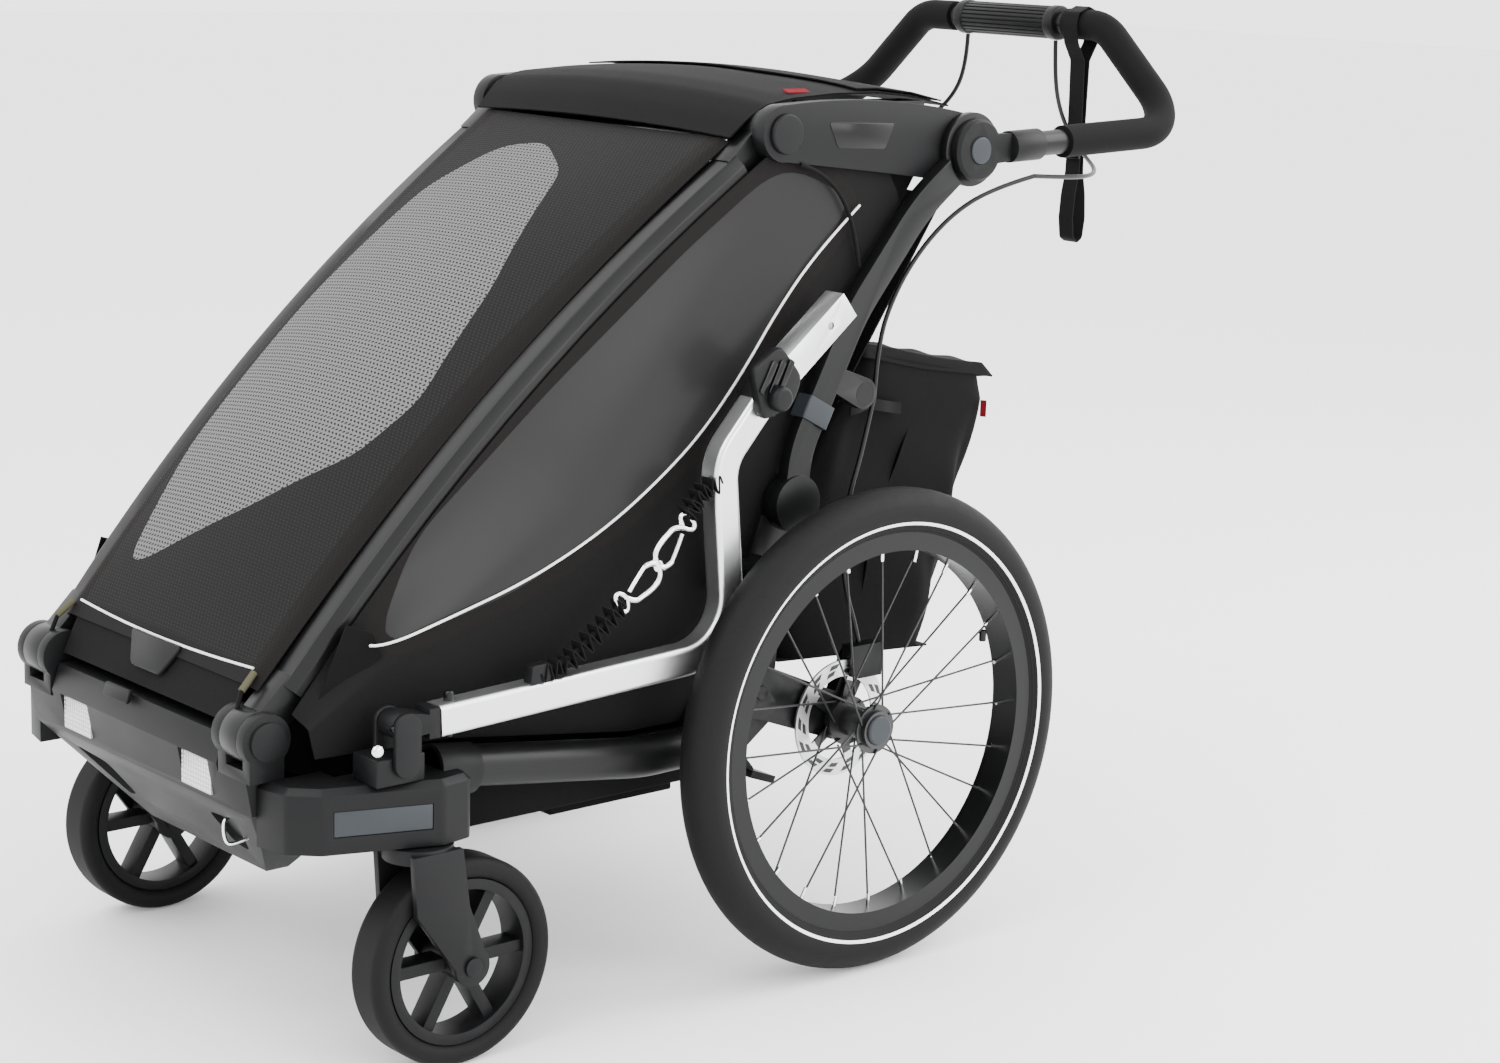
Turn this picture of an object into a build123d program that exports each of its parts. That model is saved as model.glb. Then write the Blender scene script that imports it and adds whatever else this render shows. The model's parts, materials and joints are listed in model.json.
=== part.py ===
from build123d import *
import os
from math import atan2, cos, degrees, hypot, pi, radians, sin, tan

# Child bicycle trailer, in millimetres. The front faces -Y, +X is the side that carries
# the tow arm (called left), +Z is up. The origin is on the ground, midway between the
# rear wheels. Every side piece is built for +X and mirrored for -X.

# ---- driving dimensions -------------------------------------------------------------
WHEEL_R = 250.0          # rear tyre, outside radius
TYRE_W = 50.0            # rear tyre, width
TRACK_X = 314.0          # rear tyre mid-plane, from the centre
SPOKES = 24              # spokes in one rear wheel
CASTER_R = 100.0         # front wheel radius
CASTER_W = 45.0          # front wheel width
CASTER_X = 270.0         # front wheel mid-plane, from the centre
STEM_Y = -530.0          # caster stem axis
TRAIL = 39.0             # the front wheel's axle sits this far behind the stem
FRONT_HINGE = (-654.0, 321.0)    # lower end of the front tubes (y, z)
TOP_HINGE = (-83.0, 848.0)       # upper end of the front tubes
HANDLE_HINGE = (167.0, 826.0)    # rear end of the top links, and the handle
REAR_HINGE = (-66.0, 481.0)      # lower end of the uprights
SUSPENSION = (-108.0, 293.0)     # swing arm pivot
BAR_CORNER = (259.0, 474.0, 839.0)   # outer bend of the handlebar
BAR_TOP = (143.5, 474.0, 945.0)      # upper bend of the handlebar
FRONT_TUBE_W = 42.0      # front tube, across
FRONT_TUBE_D = 34.0      # front tube, deep
FRONT_TUBE_BOW = 25.0    # how far the front tube bows outwards
UPRIGHT_W = 30.0         # upright profile, along the trailer
UPRIGHT_T = 14.5         # upright profile, across the trailer
BASE_TUBE_R = 20.0       # base side tube
BASE_TUBE_X = 250.0      # base side tube, from the centre
BAR_R = 13.0             # handlebar tube
BAR_WALL = 2.0
FOAM_R = 17.0            # foam grip on the handlebar
ARM_W = 26.0             # tow arm, across
ARM_H = 30.0             # tow arm, deep
ARM_WALL = 2.0
PANEL_T = 3.0            # fabric panel thickness
CABLE_R = 2.5            # brake cable
RUN = 0.05               # radial clearance of a pin that turns in its bore
GAP = 0.3                # clearance between pieces that pass or rest on each other

# ---- places across the trailer ------------------------------------------------------
LINK_X0, LINK_X1 = 222.5, 240.6                  # top link plate
UPRIGHT_X0 = LINK_X1 + 0.9                       # inner face of the upright
UPRIGHT_X1 = UPRIGHT_X0 + UPRIGHT_T
COLLAR_X1 = UPRIGHT_X0 + 8.5                     # outer face of the upright's hub collar
CAP_X1 = 262.0                                   # outer face of the handle hub
BRACKET_X0, BRACKET_X1 = 233.0, UPRIGHT_X0 - GAP  # rear frame bracket plate
ARM_X0 = 260.5                                   # inner face of the tow arm
ARM_X = ARM_X0 + ARM_W / 2
KNUCKLE_LOW = (172.0, 200.0)                     # front tube's lower eye
KNUCKLE_TOP = (196.0, LINK_X0 - 0.5)             # front tube's upper eye
AXLE_Z = WHEEL_R
CASTER_Y = STEM_Y + TRAIL
LEFT, RIGHT = "left", "right"


# ---- helpers ------------------------------------------------------------------------
def slab(points, x0, x1):
    """A plate cut to an outline of (y, z) points, from x0 to x1."""
    face = Plane.YZ.offset(x0) * make_face(Polyline(*points, close=True))
    return extrude(face, x1 - x0, dir=(1, 0, 0))


def block(x0, x1, y0, y1, z0, z1):
    return Pos((x0 + x1) / 2, (y0 + y1) / 2, (z0 + z1) / 2) * Box(x1 - x0, y1 - y0, z1 - z0)


def disc(centre, radius, x0, x1):
    """A round along X at (y, z)."""
    low = (Align.CENTER, Align.CENTER, Align.MIN)
    return Pos(x0, *centre) * Rot(0, 90, 0) * Cylinder(radius, x1 - x0, align=low)


def rod(start, end, radius):
    way = Vector(*end) - Vector(*start)
    low = (Align.CENTER, Align.CENTER, Align.MIN)
    return Plane(origin=start, z_dir=way) * Cylinder(radius, way.length, align=low)


def strap_plate(a, ra, b, rb, x0, x1):
    """A plate with round ends at two (y, z) points."""
    turn = atan2(b[1] - a[1], b[0] - a[0])
    side = (-sin(turn), cos(turn))
    outline = [
        (a[0] + side[0] * ra, a[1] + side[1] * ra),
        (b[0] + side[0] * rb, b[1] + side[1] * rb),
        (b[0] - side[0] * rb, b[1] - side[1] * rb),
        (a[0] - side[0] * ra, a[1] - side[1] * ra),
    ]
    return slab(outline, x0, x1) + disc(a, ra, x0, x1) + disc(b, rb, x0, x1)


def along(path, section, x_dir):
    """Sweeps a section along a path, starting square to it."""
    return sweep(Plane(origin=path @ 0, x_dir=x_dir, z_dir=path % 0) * section, path)


def other_side(shape):
    return mirror(shape, about=Plane.YZ)


def save(name, *shapes):
    solids = [solid for shape in shapes for solid in shape.solids()]
    export_step(solids[0] if len(solids) == 1 else Compound(solids), f"parts/{name}.step")


def save_pair(name, shape):
    """Writes one node for each side."""
    save(f"{name}_{LEFT}", shape)
    save(f"{name}_{RIGHT}", other_side(shape))


def on_front_tube(along_tube, out=0.0):
    """The (y, z) point at a distance up the front tubes' line, and off it."""
    turn = atan2(TOP_HINGE[1] - FRONT_HINGE[1], TOP_HINGE[0] - FRONT_HINGE[0])
    y = FRONT_HINGE[0] + along_tube * cos(turn) - out * sin(turn)
    return y, FRONT_HINGE[1] + along_tube * sin(turn) + out * cos(turn)


FRONT_LENGTH = hypot(TOP_HINGE[0] - FRONT_HINGE[0], TOP_HINGE[1] - FRONT_HINGE[1])


# ---- rear wheels --------------------------------------------------------------------
TYRE_R = TYRE_W / 2          # radius of the tyre's section
BEAD_R = WHEEL_R - 43.0      # where the tyre sits on the rim
RIM_IN = BEAD_R - 19.0       # inside of the rim
FLANGE_OUT, FLANGE_IN = 313.0, 273.5    # hub flange mid-planes
FLANGE_R = 25.5
FLANGE_T = 3.0
ROTOR_R, ROTOR_X0, ROTOR_X1 = 61.0, 259.4, 261.8
AXLE_R = 7.5
BUTTON_R = 15.5
SPOKE_R = 1.1
HUB_AT = (0.0, AXLE_Z)


def ring_about_axle(profile):
    """Turns a profile (across, radius) about the rear axle."""
    return Pos(TRACK_X, 0, AXLE_Z) * revolve(Plane.XZ * profile, Axis.X)


def rear_tyre():
    centre = WHEEL_R - TYRE_R
    wall = 3.5
    profile = Pos(0, centre) * (Circle(TYRE_R) - Circle(TYRE_R - wall))
    profile -= Pos(0, BEAD_R - TYRE_R) * Rectangle(2 * TYRE_W, 2 * TYRE_R)
    return ring_about_axle(profile)


def rear_rim():
    half = 17.4
    wall = 3.2
    height = BEAD_R - 0.15 - RIM_IN
    profile = Pos(0, RIM_IN + height / 2) * Rectangle(2 * half, height)
    profile -= Pos(0, RIM_IN + height / 2 + wall) * Rectangle(2 * (half - wall), height)
    return ring_about_axle(profile)


def rear_spokes():
    """Crossed spokes, one flange for every other hole in the rim."""
    lean = 38.0
    parts = []
    for number in range(SPOKES):
        outer = number % 2 == 0
        ahead = number // 2 % 2 == 0
        flange = FLANGE_OUT if outer else FLANGE_IN
        off = FLANGE_T / 2 + SPOKE_R + 0.2
        head_x = flange + (off if ahead else -off)
        head_r = FLANGE_R - 4.0 if outer or ahead else FLANGE_R + SPOKE_R + 0.5
        rim_turn = radians(360 / SPOKES * number)
        hub_turn = rim_turn + radians(lean if ahead else -lean)
        start = (head_x, head_r * cos(hub_turn), AXLE_Z + head_r * sin(hub_turn))
        reach = RIM_IN - 1.0
        end = (TRACK_X, reach * cos(rim_turn), AXLE_Z + reach * sin(rim_turn))
        parts.append(rod(start, end, SPOKE_R))
    return parts


def rear_hub():
    shell = disc(HUB_AT, 15.0, FLANGE_IN, FLANGE_OUT)
    shell += disc(HUB_AT, 20.0, ROTOR_X1 + 0.2, FLANGE_IN - 3.0)
    shell += disc(HUB_AT, 15.0, FLANGE_IN - 3.0, FLANGE_IN)
    for flange in (FLANGE_OUT, FLANGE_IN):
        shell += disc(HUB_AT, FLANGE_R, flange - FLANGE_T / 2, flange + FLANGE_T / 2)
    shell += disc(HUB_AT, BUTTON_R + 4.0, FLANGE_OUT, FLANGE_OUT + 6.5)
    shell -= disc(HUB_AT, BUTTON_R + GAP, FLANGE_OUT - 2.0, FLANGE_OUT + 10.0)
    shell -= disc(HUB_AT, AXLE_R + RUN, ROTOR_X1, FLANGE_OUT - 6.0)
    rotor = disc(HUB_AT, ROTOR_R, ROTOR_X0, ROTOR_X1) - disc(HUB_AT, 44.0, 0, 400)
    for number in range(5):
        turn = radians(72 * number)
        arm = block(ROTOR_X0, ROTOR_X1, 14, 46, -5, 5)
        rotor += Pos(0, 0, AXLE_Z) * Rot(degrees(turn), 0, 0) * arm
    rotor += disc(HUB_AT, 20.0, ROTOR_X0, ROTOR_X1)
    rotor -= disc(HUB_AT, AXLE_R + 2.0, 0, 400)
    return shell, rotor


def axle_button():
    body = disc(HUB_AT, BUTTON_R, FLANGE_OUT + 1.5, FLANGE_OUT + 10.0)
    return fillet(body.faces().sort_by(Axis.X)[-1].edges(), 3.0)


# ---- suspension ---------------------------------------------------------------------
ARM_IN, ARM_OUT = BRACKET_X1 + GAP, 256.0        # swing arm plate
PIVOT_R = 27.0


def swing_arm():
    plate = strap_plate(SUSPENSION, PIVOT_R, HUB_AT, 24.0, ARM_IN, ARM_OUT)
    plate += disc(SUSPENSION, PIVOT_R, ARM_OUT, 261.0)
    caliper_at = (28.0, AXLE_Z + 55.0)
    plate += strap_plate(HUB_AT, 14.0, caliper_at, 16.0, ARM_IN, ARM_OUT)
    plate += block(ARM_OUT - 4.0, 268.0, 8.0, 50.0, AXLE_Z + 40.0, AXLE_Z + 75.0)
    plate -= disc(HUB_AT, ROTOR_R + 1.5, ARM_OUT + 0.8, ROTOR_X1 + 2.2)
    plate -= disc(HUB_AT, 44.0, ARM_OUT + 0.8, 300.0)
    plate -= disc(SUSPENSION, 7.0 + RUN, 0, 400)
    plate += disc(HUB_AT, AXLE_R, ARM_IN, FLANGE_OUT - 8.0)
    return plate


# ---- casters ------------------------------------------------------------------------
FORK_IN = CASTER_W / 2 + 4.0
FORK_OUT = FORK_IN + 7.5
CROWN_Z0, CROWN_Z1 = 206.0, 220.0
STEM_R = 8.0
WING_Z0, WING_Z1 = 222.0, 283.0
CASTER_AT = (CASTER_Y, CASTER_R)
BOLT_R = 5.0


def caster_fork():
    crown = Pos(CASTER_X, STEM_Y, (CROWN_Z0 + CROWN_Z1) / 2) * Cylinder(
        FORK_OUT - 1.0, CROWN_Z1 - CROWN_Z0)
    crown += Pos(CASTER_X, STEM_Y, CROWN_Z1 + 19.0) * Cylinder(STEM_R, 38.0)
    front, rear = STEM_Y - 27.0, STEM_Y + 27.0
    outline = [(front, CROWN_Z1 - 3), (rear, CROWN_Z1 - 3), (rear + 8, 160.0),
               (CASTER_Y + 19, CASTER_R), (CASTER_Y - 19, CASTER_R), (front + 4, 160.0)]
    fork = crown
    for side in (-1, 1):
        x0, x1 = sorted((CASTER_X + side * FORK_IN, CASTER_X + side * FORK_OUT))
        fork += slab(outline, x0, x1) + disc(CASTER_AT, 19.0, x0, x1)
    fork += block(CASTER_X - FORK_OUT, CASTER_X + FORK_OUT, front + 3, rear - 3,
                  CROWN_Z0, CROWN_Z1 - 3)
    fork -= disc(CASTER_AT, BOLT_R + RUN, 0, 400)
    bolt = disc(CASTER_AT, BOLT_R, CASTER_X - FORK_OUT - 2, CASTER_X + FORK_OUT + 2)
    bolt += disc(CASTER_AT, 9.0, CASTER_X + FORK_OUT, CASTER_X + FORK_OUT + 2.5)
    bolt += disc(CASTER_AT, 9.0, CASTER_X - FORK_OUT - 2.5, CASTER_X - FORK_OUT)
    return fork, bolt


def caster_ring(profile):
    return Pos(CASTER_X, *CASTER_AT) * revolve(Plane.XZ * profile, Axis.X)


CASTER_RIM_R = 80.0


def caster_tyre():
    height = CASTER_R - CASTER_RIM_R
    profile = Pos(0, CASTER_RIM_R + height / 2) * RectangleRounded(CASTER_W, height, 9.0)
    return caster_ring(profile)


def caster_rim():
    width = CASTER_W - 9.0
    band = Pos(0, CASTER_RIM_R - GAP - 5.0) * Rectangle(width, 10.0)
    rim = caster_ring(band)
    rim += disc(CASTER_AT, 17.0, CASTER_X - FORK_IN + GAP, CASTER_X + FORK_IN - GAP)
    for number in range(6):
        arm = Pos(0, 0, 42.0) * Box(width - 12, 12.0, 60.0)
        rim += Pos(CASTER_X, *CASTER_AT) * Rot(60 * number + 30, 0, 0) * arm
    return rim - disc(CASTER_AT, BOLT_R + RUN, 0, 400)


# ---- front corners: the wing over each caster, with its release panel ----------------
WING_PLAN = [(204.0, -660.0), (240.0, -652.0), (262.0, -628.0), (298.0, -520.0),
             (292.0, -484.0), (225.8, -480.0), (225.8, -590.0), (204.0, -590.0)]
PANEL_FACE = ((262.0, -628.0), (298.0, -520.0))      # the wing's outer face, in plan
PANEL_LENGTH, PANEL_HEIGHT, PANEL_DEPTH = 92.0, 24.0, 6.0
PANEL_Z = 250.0
PANEL_TRAVEL = 4.0


def panel_plane():
    """The plane of the wing's outer face: local X along it, local Z out of it."""
    (x0, y0), (x1, y1) = PANEL_FACE
    way = Vector(x1 - x0, y1 - y0, 0).normalized()
    out = Vector(way.Y, -way.X, 0)
    return Plane(origin=((x0 + x1) / 2, (y0 + y1) / 2, PANEL_Z), x_dir=way, z_dir=out)


BASE_PATH = [(-505.0, 281.0), (-255.0, 248.0), (-150.0, 250.0)]


def base_tube_path():
    corners = [(BASE_TUBE_X, y, z) for y, z in BASE_PATH]
    return FilletPolyline(*corners, radius=200.0)


def base_side_tube():
    ring = Circle(BASE_TUBE_R) - Circle(BASE_TUBE_R - 2.0)
    return along(base_tube_path(), ring, (1, 0, 0))


def base_tube_solid():
    return along(base_tube_path(), Circle(BASE_TUBE_R), (1, 0, 0))


def caster_wing():
    plan = make_face(Polyline(*WING_PLAN, close=True))
    wing = extrude(Pos(0, 0, WING_Z0) * plan, WING_Z1 - WING_Z0)
    outer_corners = wing.edges().filter_by(Axis.Z).filter_by_position(Axis.X, 235.0, 300.0)
    wing = fillet(outer_corners, 12.0)
    wing = chamfer(wing.faces().sort_by(Axis.Z)[-1].edges(), 6.0)
    y, z = BASE_PATH[0]
    wing += rod((BASE_TUBE_X, y, z - 2), (BASE_TUBE_X, y + 45, z - 8), BASE_TUBE_R + 4)
    pocket = Box(PANEL_LENGTH + 2 * GAP, PANEL_HEIGHT + 2 * GAP,
                 2 * (PANEL_DEPTH + PANEL_TRAVEL + GAP))
    wing -= panel_plane() * pocket
    wing -= Pos(CASTER_X, STEM_Y, WING_Z0) * Cylinder(STEM_R + RUN, 2 * 38.0)
    return wing - base_tube_solid()


def caster_release():
    low = (Align.CENTER, Align.CENTER, Align.MAX)
    return panel_plane() * Box(PANEL_LENGTH, PANEL_HEIGHT, PANEL_DEPTH, align=low)


# ---- front shield, its hubs and the cross tubes --------------------------------------
SHIELD_SIDE = [(-664.0, 316.0), (-672.0, 290.0), (-664.0, 248.0), (-590.0, 158.0),
               (-566.0, 158.0), (-560.0, 175.0), (-632.0, 262.0), (-640.0, 316.0)]
SHIELD_FRONT = [(-155.0, 330.0), (155.0, 330.0), (155.0, WING_Z1), (203.5, WING_Z1),
                (203.5, 250.0), (148.0, 195.0), (98.0, 150.0), (-98.0, 150.0),
                (-148.0, 195.0), (-203.5, 250.0), (-203.5, WING_Z1), (-155.0, WING_Z1)]
HUB_R = 25.0


def front_shield():
    side = slab(SHIELD_SIDE, -210.0, 210.0)
    front = Plane.XZ * make_face(Polyline(*SHIELD_FRONT, close=True))
    prism = extrude(front, 400.0, both=True, dir=(0, 1, 0))
    prism = Pos(0, -600, 0) * prism
    shield = side & prism
    for side_x in (-1, 1):
        shield -= Pos(side_x * 112.0, -668.0, 272.0) * Box(52.4, 12.0, 34.4)
    return shield - front_cross_tube()


def reflector(side_x):
    plate = Pos(side_x * 112.0, -665.0, 272.0) * Box(52.0, 5.4, 34.0)
    return plate


CROSS_R = 14.0
FRONT_CROSS_AT = (-632.0, 300.0)
REAR_CROSS_AT = (-108.0, 262.0)


def front_cross_tube():
    return disc(FRONT_CROSS_AT, CROSS_R, -157.5, 157.5)


def rear_cross_tube():
    return disc(REAR_CROSS_AT, CROSS_R, -BRACKET_X0, BRACKET_X0)


def front_pivot_hub():
    """The fork that carries a front tube's lower eye, with its pin and outer cap."""
    y, z = FRONT_HINGE
    seat = block(158.0, 212.5, y - 18, y + 18, WING_Z1, z - HUB_R - 2.0)
    for x0, x1 in ((158.0, KNUCKLE_LOW[0] - GAP), (KNUCKLE_LOW[1] + GAP, 212.5)):
        seat += disc((y, z), HUB_R, x0, x1) + block(x0, x1, y - 18, y + 18, WING_Z1, z)
    seat += disc((y, z), 7.0, 158.0, 212.5)
    seat += disc((y, z), 18.0, 212.5, 216.5)
    seat = seat - disc(FRONT_CROSS_AT, CROSS_R, 150.0, 160.0)
    return seat


# ---- front frame --------------------------------------------------------------------
COLLAR_LENGTH = 60.0


def front_tube():
    """A bowed, creased tube between two end fittings."""
    low_x, top_x = sum(KNUCKLE_LOW) / 2, sum(KNUCKLE_TOP) / 2
    start = (low_x, *on_front_tube(COLLAR_LENGTH - 8))
    middle = ((low_x + top_x) / 2, *on_front_tube(FRONT_LENGTH / 2, FRONT_TUBE_BOW))
    end = (top_x, *on_front_tube(FRONT_LENGTH - COLLAR_LENGTH + 8))
    path = ThreePointArc(start, middle, end)
    half, deep = FRONT_TUBE_W / 2, FRONT_TUBE_D / 2
    points = [(-half, -deep * 0.6), (-half * 0.6, -deep), (half * 0.7, -deep),
              (half, -deep * 0.4), (half, deep * 0.2), (half * 0.15, deep), (-half, deep * 0.5)]
    section = fillet(make_face(Polyline(*points, close=True)).vertices(), 4.0)
    tube = along(path, section, (1, 0, 0))
    low = [on_front_tube(0, -deep), on_front_tube(COLLAR_LENGTH, -deep + 2),
           on_front_tube(COLLAR_LENGTH, deep + 3), on_front_tube(0, deep)]
    top = [on_front_tube(FRONT_LENGTH - s, o) for s, o in
           ((0, -deep), (COLLAR_LENGTH, -deep + 2), (COLLAR_LENGTH, deep + 3), (0, deep))]
    for eye, outline, (x0, x1) in ((FRONT_HINGE, low, KNUCKLE_LOW),
                                   (TOP_HINGE, top, KNUCKLE_TOP)):
        tube += slab(outline, x0, x1) + disc(eye, HUB_R, x0, x1)
    tube -= disc(FRONT_HINGE, 7.0 + RUN, 0, 400)
    return tube


def front_top_bar():
    return disc(TOP_HINGE, 12.0, -KNUCKLE_TOP[0], KNUCKLE_TOP[0])


COVER_S0, COVER_S1 = 34.0, 742.0
COVER_W0, COVER_W1 = 190.0, 226.0       # half width at the bottom and at the top


def front_cover():
    """The cover over the two front tubes: a bowed sheet that narrows to the front."""
    ends = FRONT_TUBE_D / 2 + 2.2
    mid = (COVER_S0 + COVER_S1) / 2
    crest = FRONT_TUBE_D / 2 + FRONT_TUBE_BOW + GAP
    low = ThreePointArc(on_front_tube(COVER_S0, ends), on_front_tube(mid, crest),
                        on_front_tube(COVER_S1, ends))
    high = ThreePointArc(on_front_tube(COVER_S1, ends + PANEL_T),
                         on_front_tube(mid, crest + PANEL_T),
                         on_front_tube(COVER_S0, ends + PANEL_T))
    outline = low + Line(low @ 1, high @ 0) + high + Line(high @ 1, low @ 0)
    sheet = extrude(Plane.YZ * make_face(outline), COVER_W1, both=True, dir=(1, 0, 0))
    y0, y1 = FRONT_HINGE[0], TOP_HINGE[0]
    plan = make_face(Polyline((-COVER_W0, y0), (COVER_W0, y0), (COVER_W1, y1), (-COVER_W1, y1),
                              close=True))
    return sheet & extrude(plan, TOP_HINGE[1] + 100, dir=(0, 0, 1))


# ---- rear frame ---------------------------------------------------------------------
UPRIGHT_PATH = [REAR_HINGE, (-62.0, 533.0), (8.0, 668.0), (92.0, 770.0), HANDLE_HINGE]
UPRIGHT_RADII = [115.0, 250.0, 250.0]
BAR_AT = (22.0, 585.0)           # cross bar behind the cabin
UPRIGHT_FOOT_R, COLLAR_R, PIN_R = 29.0, 38.0, 8.0


def upright_solid():
    x = (UPRIGHT_X0 + UPRIGHT_X1) / 2
    path = FilletPolyline(*[(x, y, z) for y, z in UPRIGHT_PATH], radius=UPRIGHT_RADII)
    return along(path, Rectangle(UPRIGHT_T, UPRIGHT_W), (1, 0, 0))


def upright():
    body = upright_solid()
    body += strap_plate((-24.0, 606.0), 12.0, BAR_AT, 16.0, UPRIGHT_X0, UPRIGHT_X1)
    body += disc(REAR_HINGE, UPRIGHT_FOOT_R, UPRIGHT_X0, UPRIGHT_X1 + 3.5)
    body -= disc(HANDLE_HINGE, COLLAR_R, COLLAR_X1, 300.0)
    body += disc(HANDLE_HINGE, COLLAR_R, UPRIGHT_X0, COLLAR_X1)
    body -= disc(HANDLE_HINGE, PIN_R + RUN, 0, 400)
    body -= disc(REAR_HINGE, PIN_R + RUN, 0, UPRIGHT_X0 + 9.0)
    return body - disc(BAR_AT, 11.0, 0, 400)


def rear_cross_bar():
    return disc(BAR_AT, 11.0, -UPRIGHT_X1, UPRIGHT_X1)


def off_chord(share, out):
    """A (y, z) point on the line between the upright's two hinges, and off it."""
    dy, dz = HANDLE_HINGE[0] - REAR_HINGE[0], HANDLE_HINGE[1] - REAR_HINGE[1]
    length = hypot(dy, dz)
    return (REAR_HINGE[0] + share * dy - out * dz / length,
            REAR_HINGE[1] + share * dz + out * dy / length)


def rear_panel():
    outline = [off_chord(0.3, -26), off_chord(0.9, -26), off_chord(0.9, -29), off_chord(0.3, -29)]
    return slab(outline, -UPRIGHT_X0 + 30.0, UPRIGHT_X0 - 30.0)


LATCH_S0, LATCH_LENGTH, LATCH_WALL = 8.0, 24.0, 3.0


def latch_place():
    """The middle of the latch collar and the way it slides, in (y, z)."""
    a, b = UPRIGHT_PATH[1], UPRIGHT_PATH[2]
    length = hypot(b[0] - a[0], b[1] - a[1])
    way = ((b[0] - a[0]) / length, (b[1] - a[1]) / length)
    first = UPRIGHT_RADII[0] * tan(radians(23.0) / 2) + LATCH_S0 + LATCH_LENGTH / 2
    return (a[0] + way[0] * first, a[1] + way[1] * first), way


def latch_collar():
    (y, z), (wy, wz) = latch_place()
    x = (UPRIGHT_X0 + UPRIGHT_X1) / 2
    plane = Plane(origin=(x, y, z), x_dir=(1, 0, 0), z_dir=(0, wy, wz))
    inner = Box(UPRIGHT_T + 2 * GAP, UPRIGHT_W + 2 * GAP, 60.0)
    outer = Box(UPRIGHT_T + 2 * GAP + 2 * LATCH_WALL, UPRIGHT_W + 2 * GAP + 2 * LATCH_WALL,
                LATCH_LENGTH)
    outer = fillet(outer.edges().filter_by(Axis.Z), 2.5)
    return plane * (outer - inner)


def rear_bracket():
    """The cast plate that ties a base tube, the suspension and an upright's foot."""
    tube_end = BASE_PATH[-1]
    outline = [(-192.0, 232.0), (-192.0, 272.0), (-150.0, 330.0), (-98.0, 470.0),
               (-50.0, 462.0), (-72.0, 330.0), (-78.0, 255.0), (-110.0, 232.0)]
    plate = slab(outline, BRACKET_X0, BRACKET_X1) + disc(REAR_HINGE, 27.0, BRACKET_X0, BRACKET_X1)
    plate += disc(SUSPENSION, PIVOT_R, BRACKET_X0, BRACKET_X1)
    plate += rod((BASE_TUBE_X, tube_end[0] - 40, tube_end[1] - 0.5),
                 (BASE_TUBE_X, tube_end[0] + 5, tube_end[1]), BASE_TUBE_R + 4)
    plate -= base_tube_solid()
    plate += disc(REAR_HINGE, PIN_R, BRACKET_X1 - 2, UPRIGHT_X0 + 8.0)
    plate += disc(SUSPENSION, 7.0, BRACKET_X1 - 2, 262.0)
    return plate


def pedal_ears():
    ears = []
    for x0 in (168.0, 196.0):
        ear = strap_plate(REAR_CROSS_AT, EAR_R, PEDAL_AT, 9.0, x0, x0 + 6.0)
        ears.append(ear - disc(REAR_CROSS_AT, CROSS_R, 0, 400) - disc(PEDAL_AT, 4 + RUN, 0, 400))
    return ears


PEDAL_AT = (-92.0, 222.0)
EAR_R = 18.0             # the pedal's ears, around the rear cross tube


def brake_pedal():
    lever = disc(PEDAL_AT, 9.0, 174.3, 195.7) + disc(PEDAL_AT, 4.0, 167.0, 203.0)
    lever += strap_plate(PEDAL_AT, 7.0, (-60.0, 186.0), 6.0, 179.0, 191.0)
    pad = Pos(185.0, -50.0, 180.0) * Rot(-20, 0, 0) * Box(34.0, 34.0, 8.0)
    return lever + pad


# ---- top links, roof and handle -------------------------------------------------------
def top_link():
    y0, z0 = TOP_HINGE
    y1, z1 = HANDLE_HINGE
    upper = ThreePointArc((y0 - 4, z0 + 27.5), ((y0 + y1) / 2, z0 + 30), (y1, z1 + 36))
    lower = ThreePointArc((y1 - 6, z1 - 35), ((y0 + y1) / 2 - 20, z1 - 17), (y0, z0 - 27.5))
    ends = Line(upper @ 1, lower @ 0) + Line(lower @ 1, upper @ 0)
    face = Plane.YZ.offset(LINK_X0) * make_face(upper + ends + lower)
    plate = extrude(face, LINK_X1 - LINK_X0, dir=(1, 0, 0))
    plate += disc(TOP_HINGE, 28.0, LINK_X0, LINK_X1) + disc(HANDLE_HINGE, 36.0, LINK_X0, LINK_X1)
    plate += slab([(y0 + 55, z0 + 8), (y1 - 45, z0 + 4), (y1 - 45, z0 + 27), (y0 + 55, z0 + 28)],
                  ROOF_X + GAP, LINK_X0)
    return plate - disc(HANDLE_HINGE, PIN_R + RUN, 0, 400)


ROOF_X = 186.0


def roof_panel():
    y0, z0 = TOP_HINGE
    y1, z1 = HANDLE_HINGE
    outline = [(y0 + 22, z0 + 23), (y0 + 120, z0 + 30), (y1 - 12, z1 + 38),
               (y1 - 12, z1 + 42), (y0 + 120, z0 + 34), (y0 + 22, z0 + 27)]
    return slab(outline, -ROOF_X, ROOF_X)


SOCKET = ((256.0, 212.0, 828.0), (256.6, 254.0, 829.7))
BAR_START = (256.2, 224.0, 828.5)
FOAM_START = (257.4, 292.0, 831.3)
GRIP_HALF, GRIP_R = 78.0, 19.5


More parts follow.
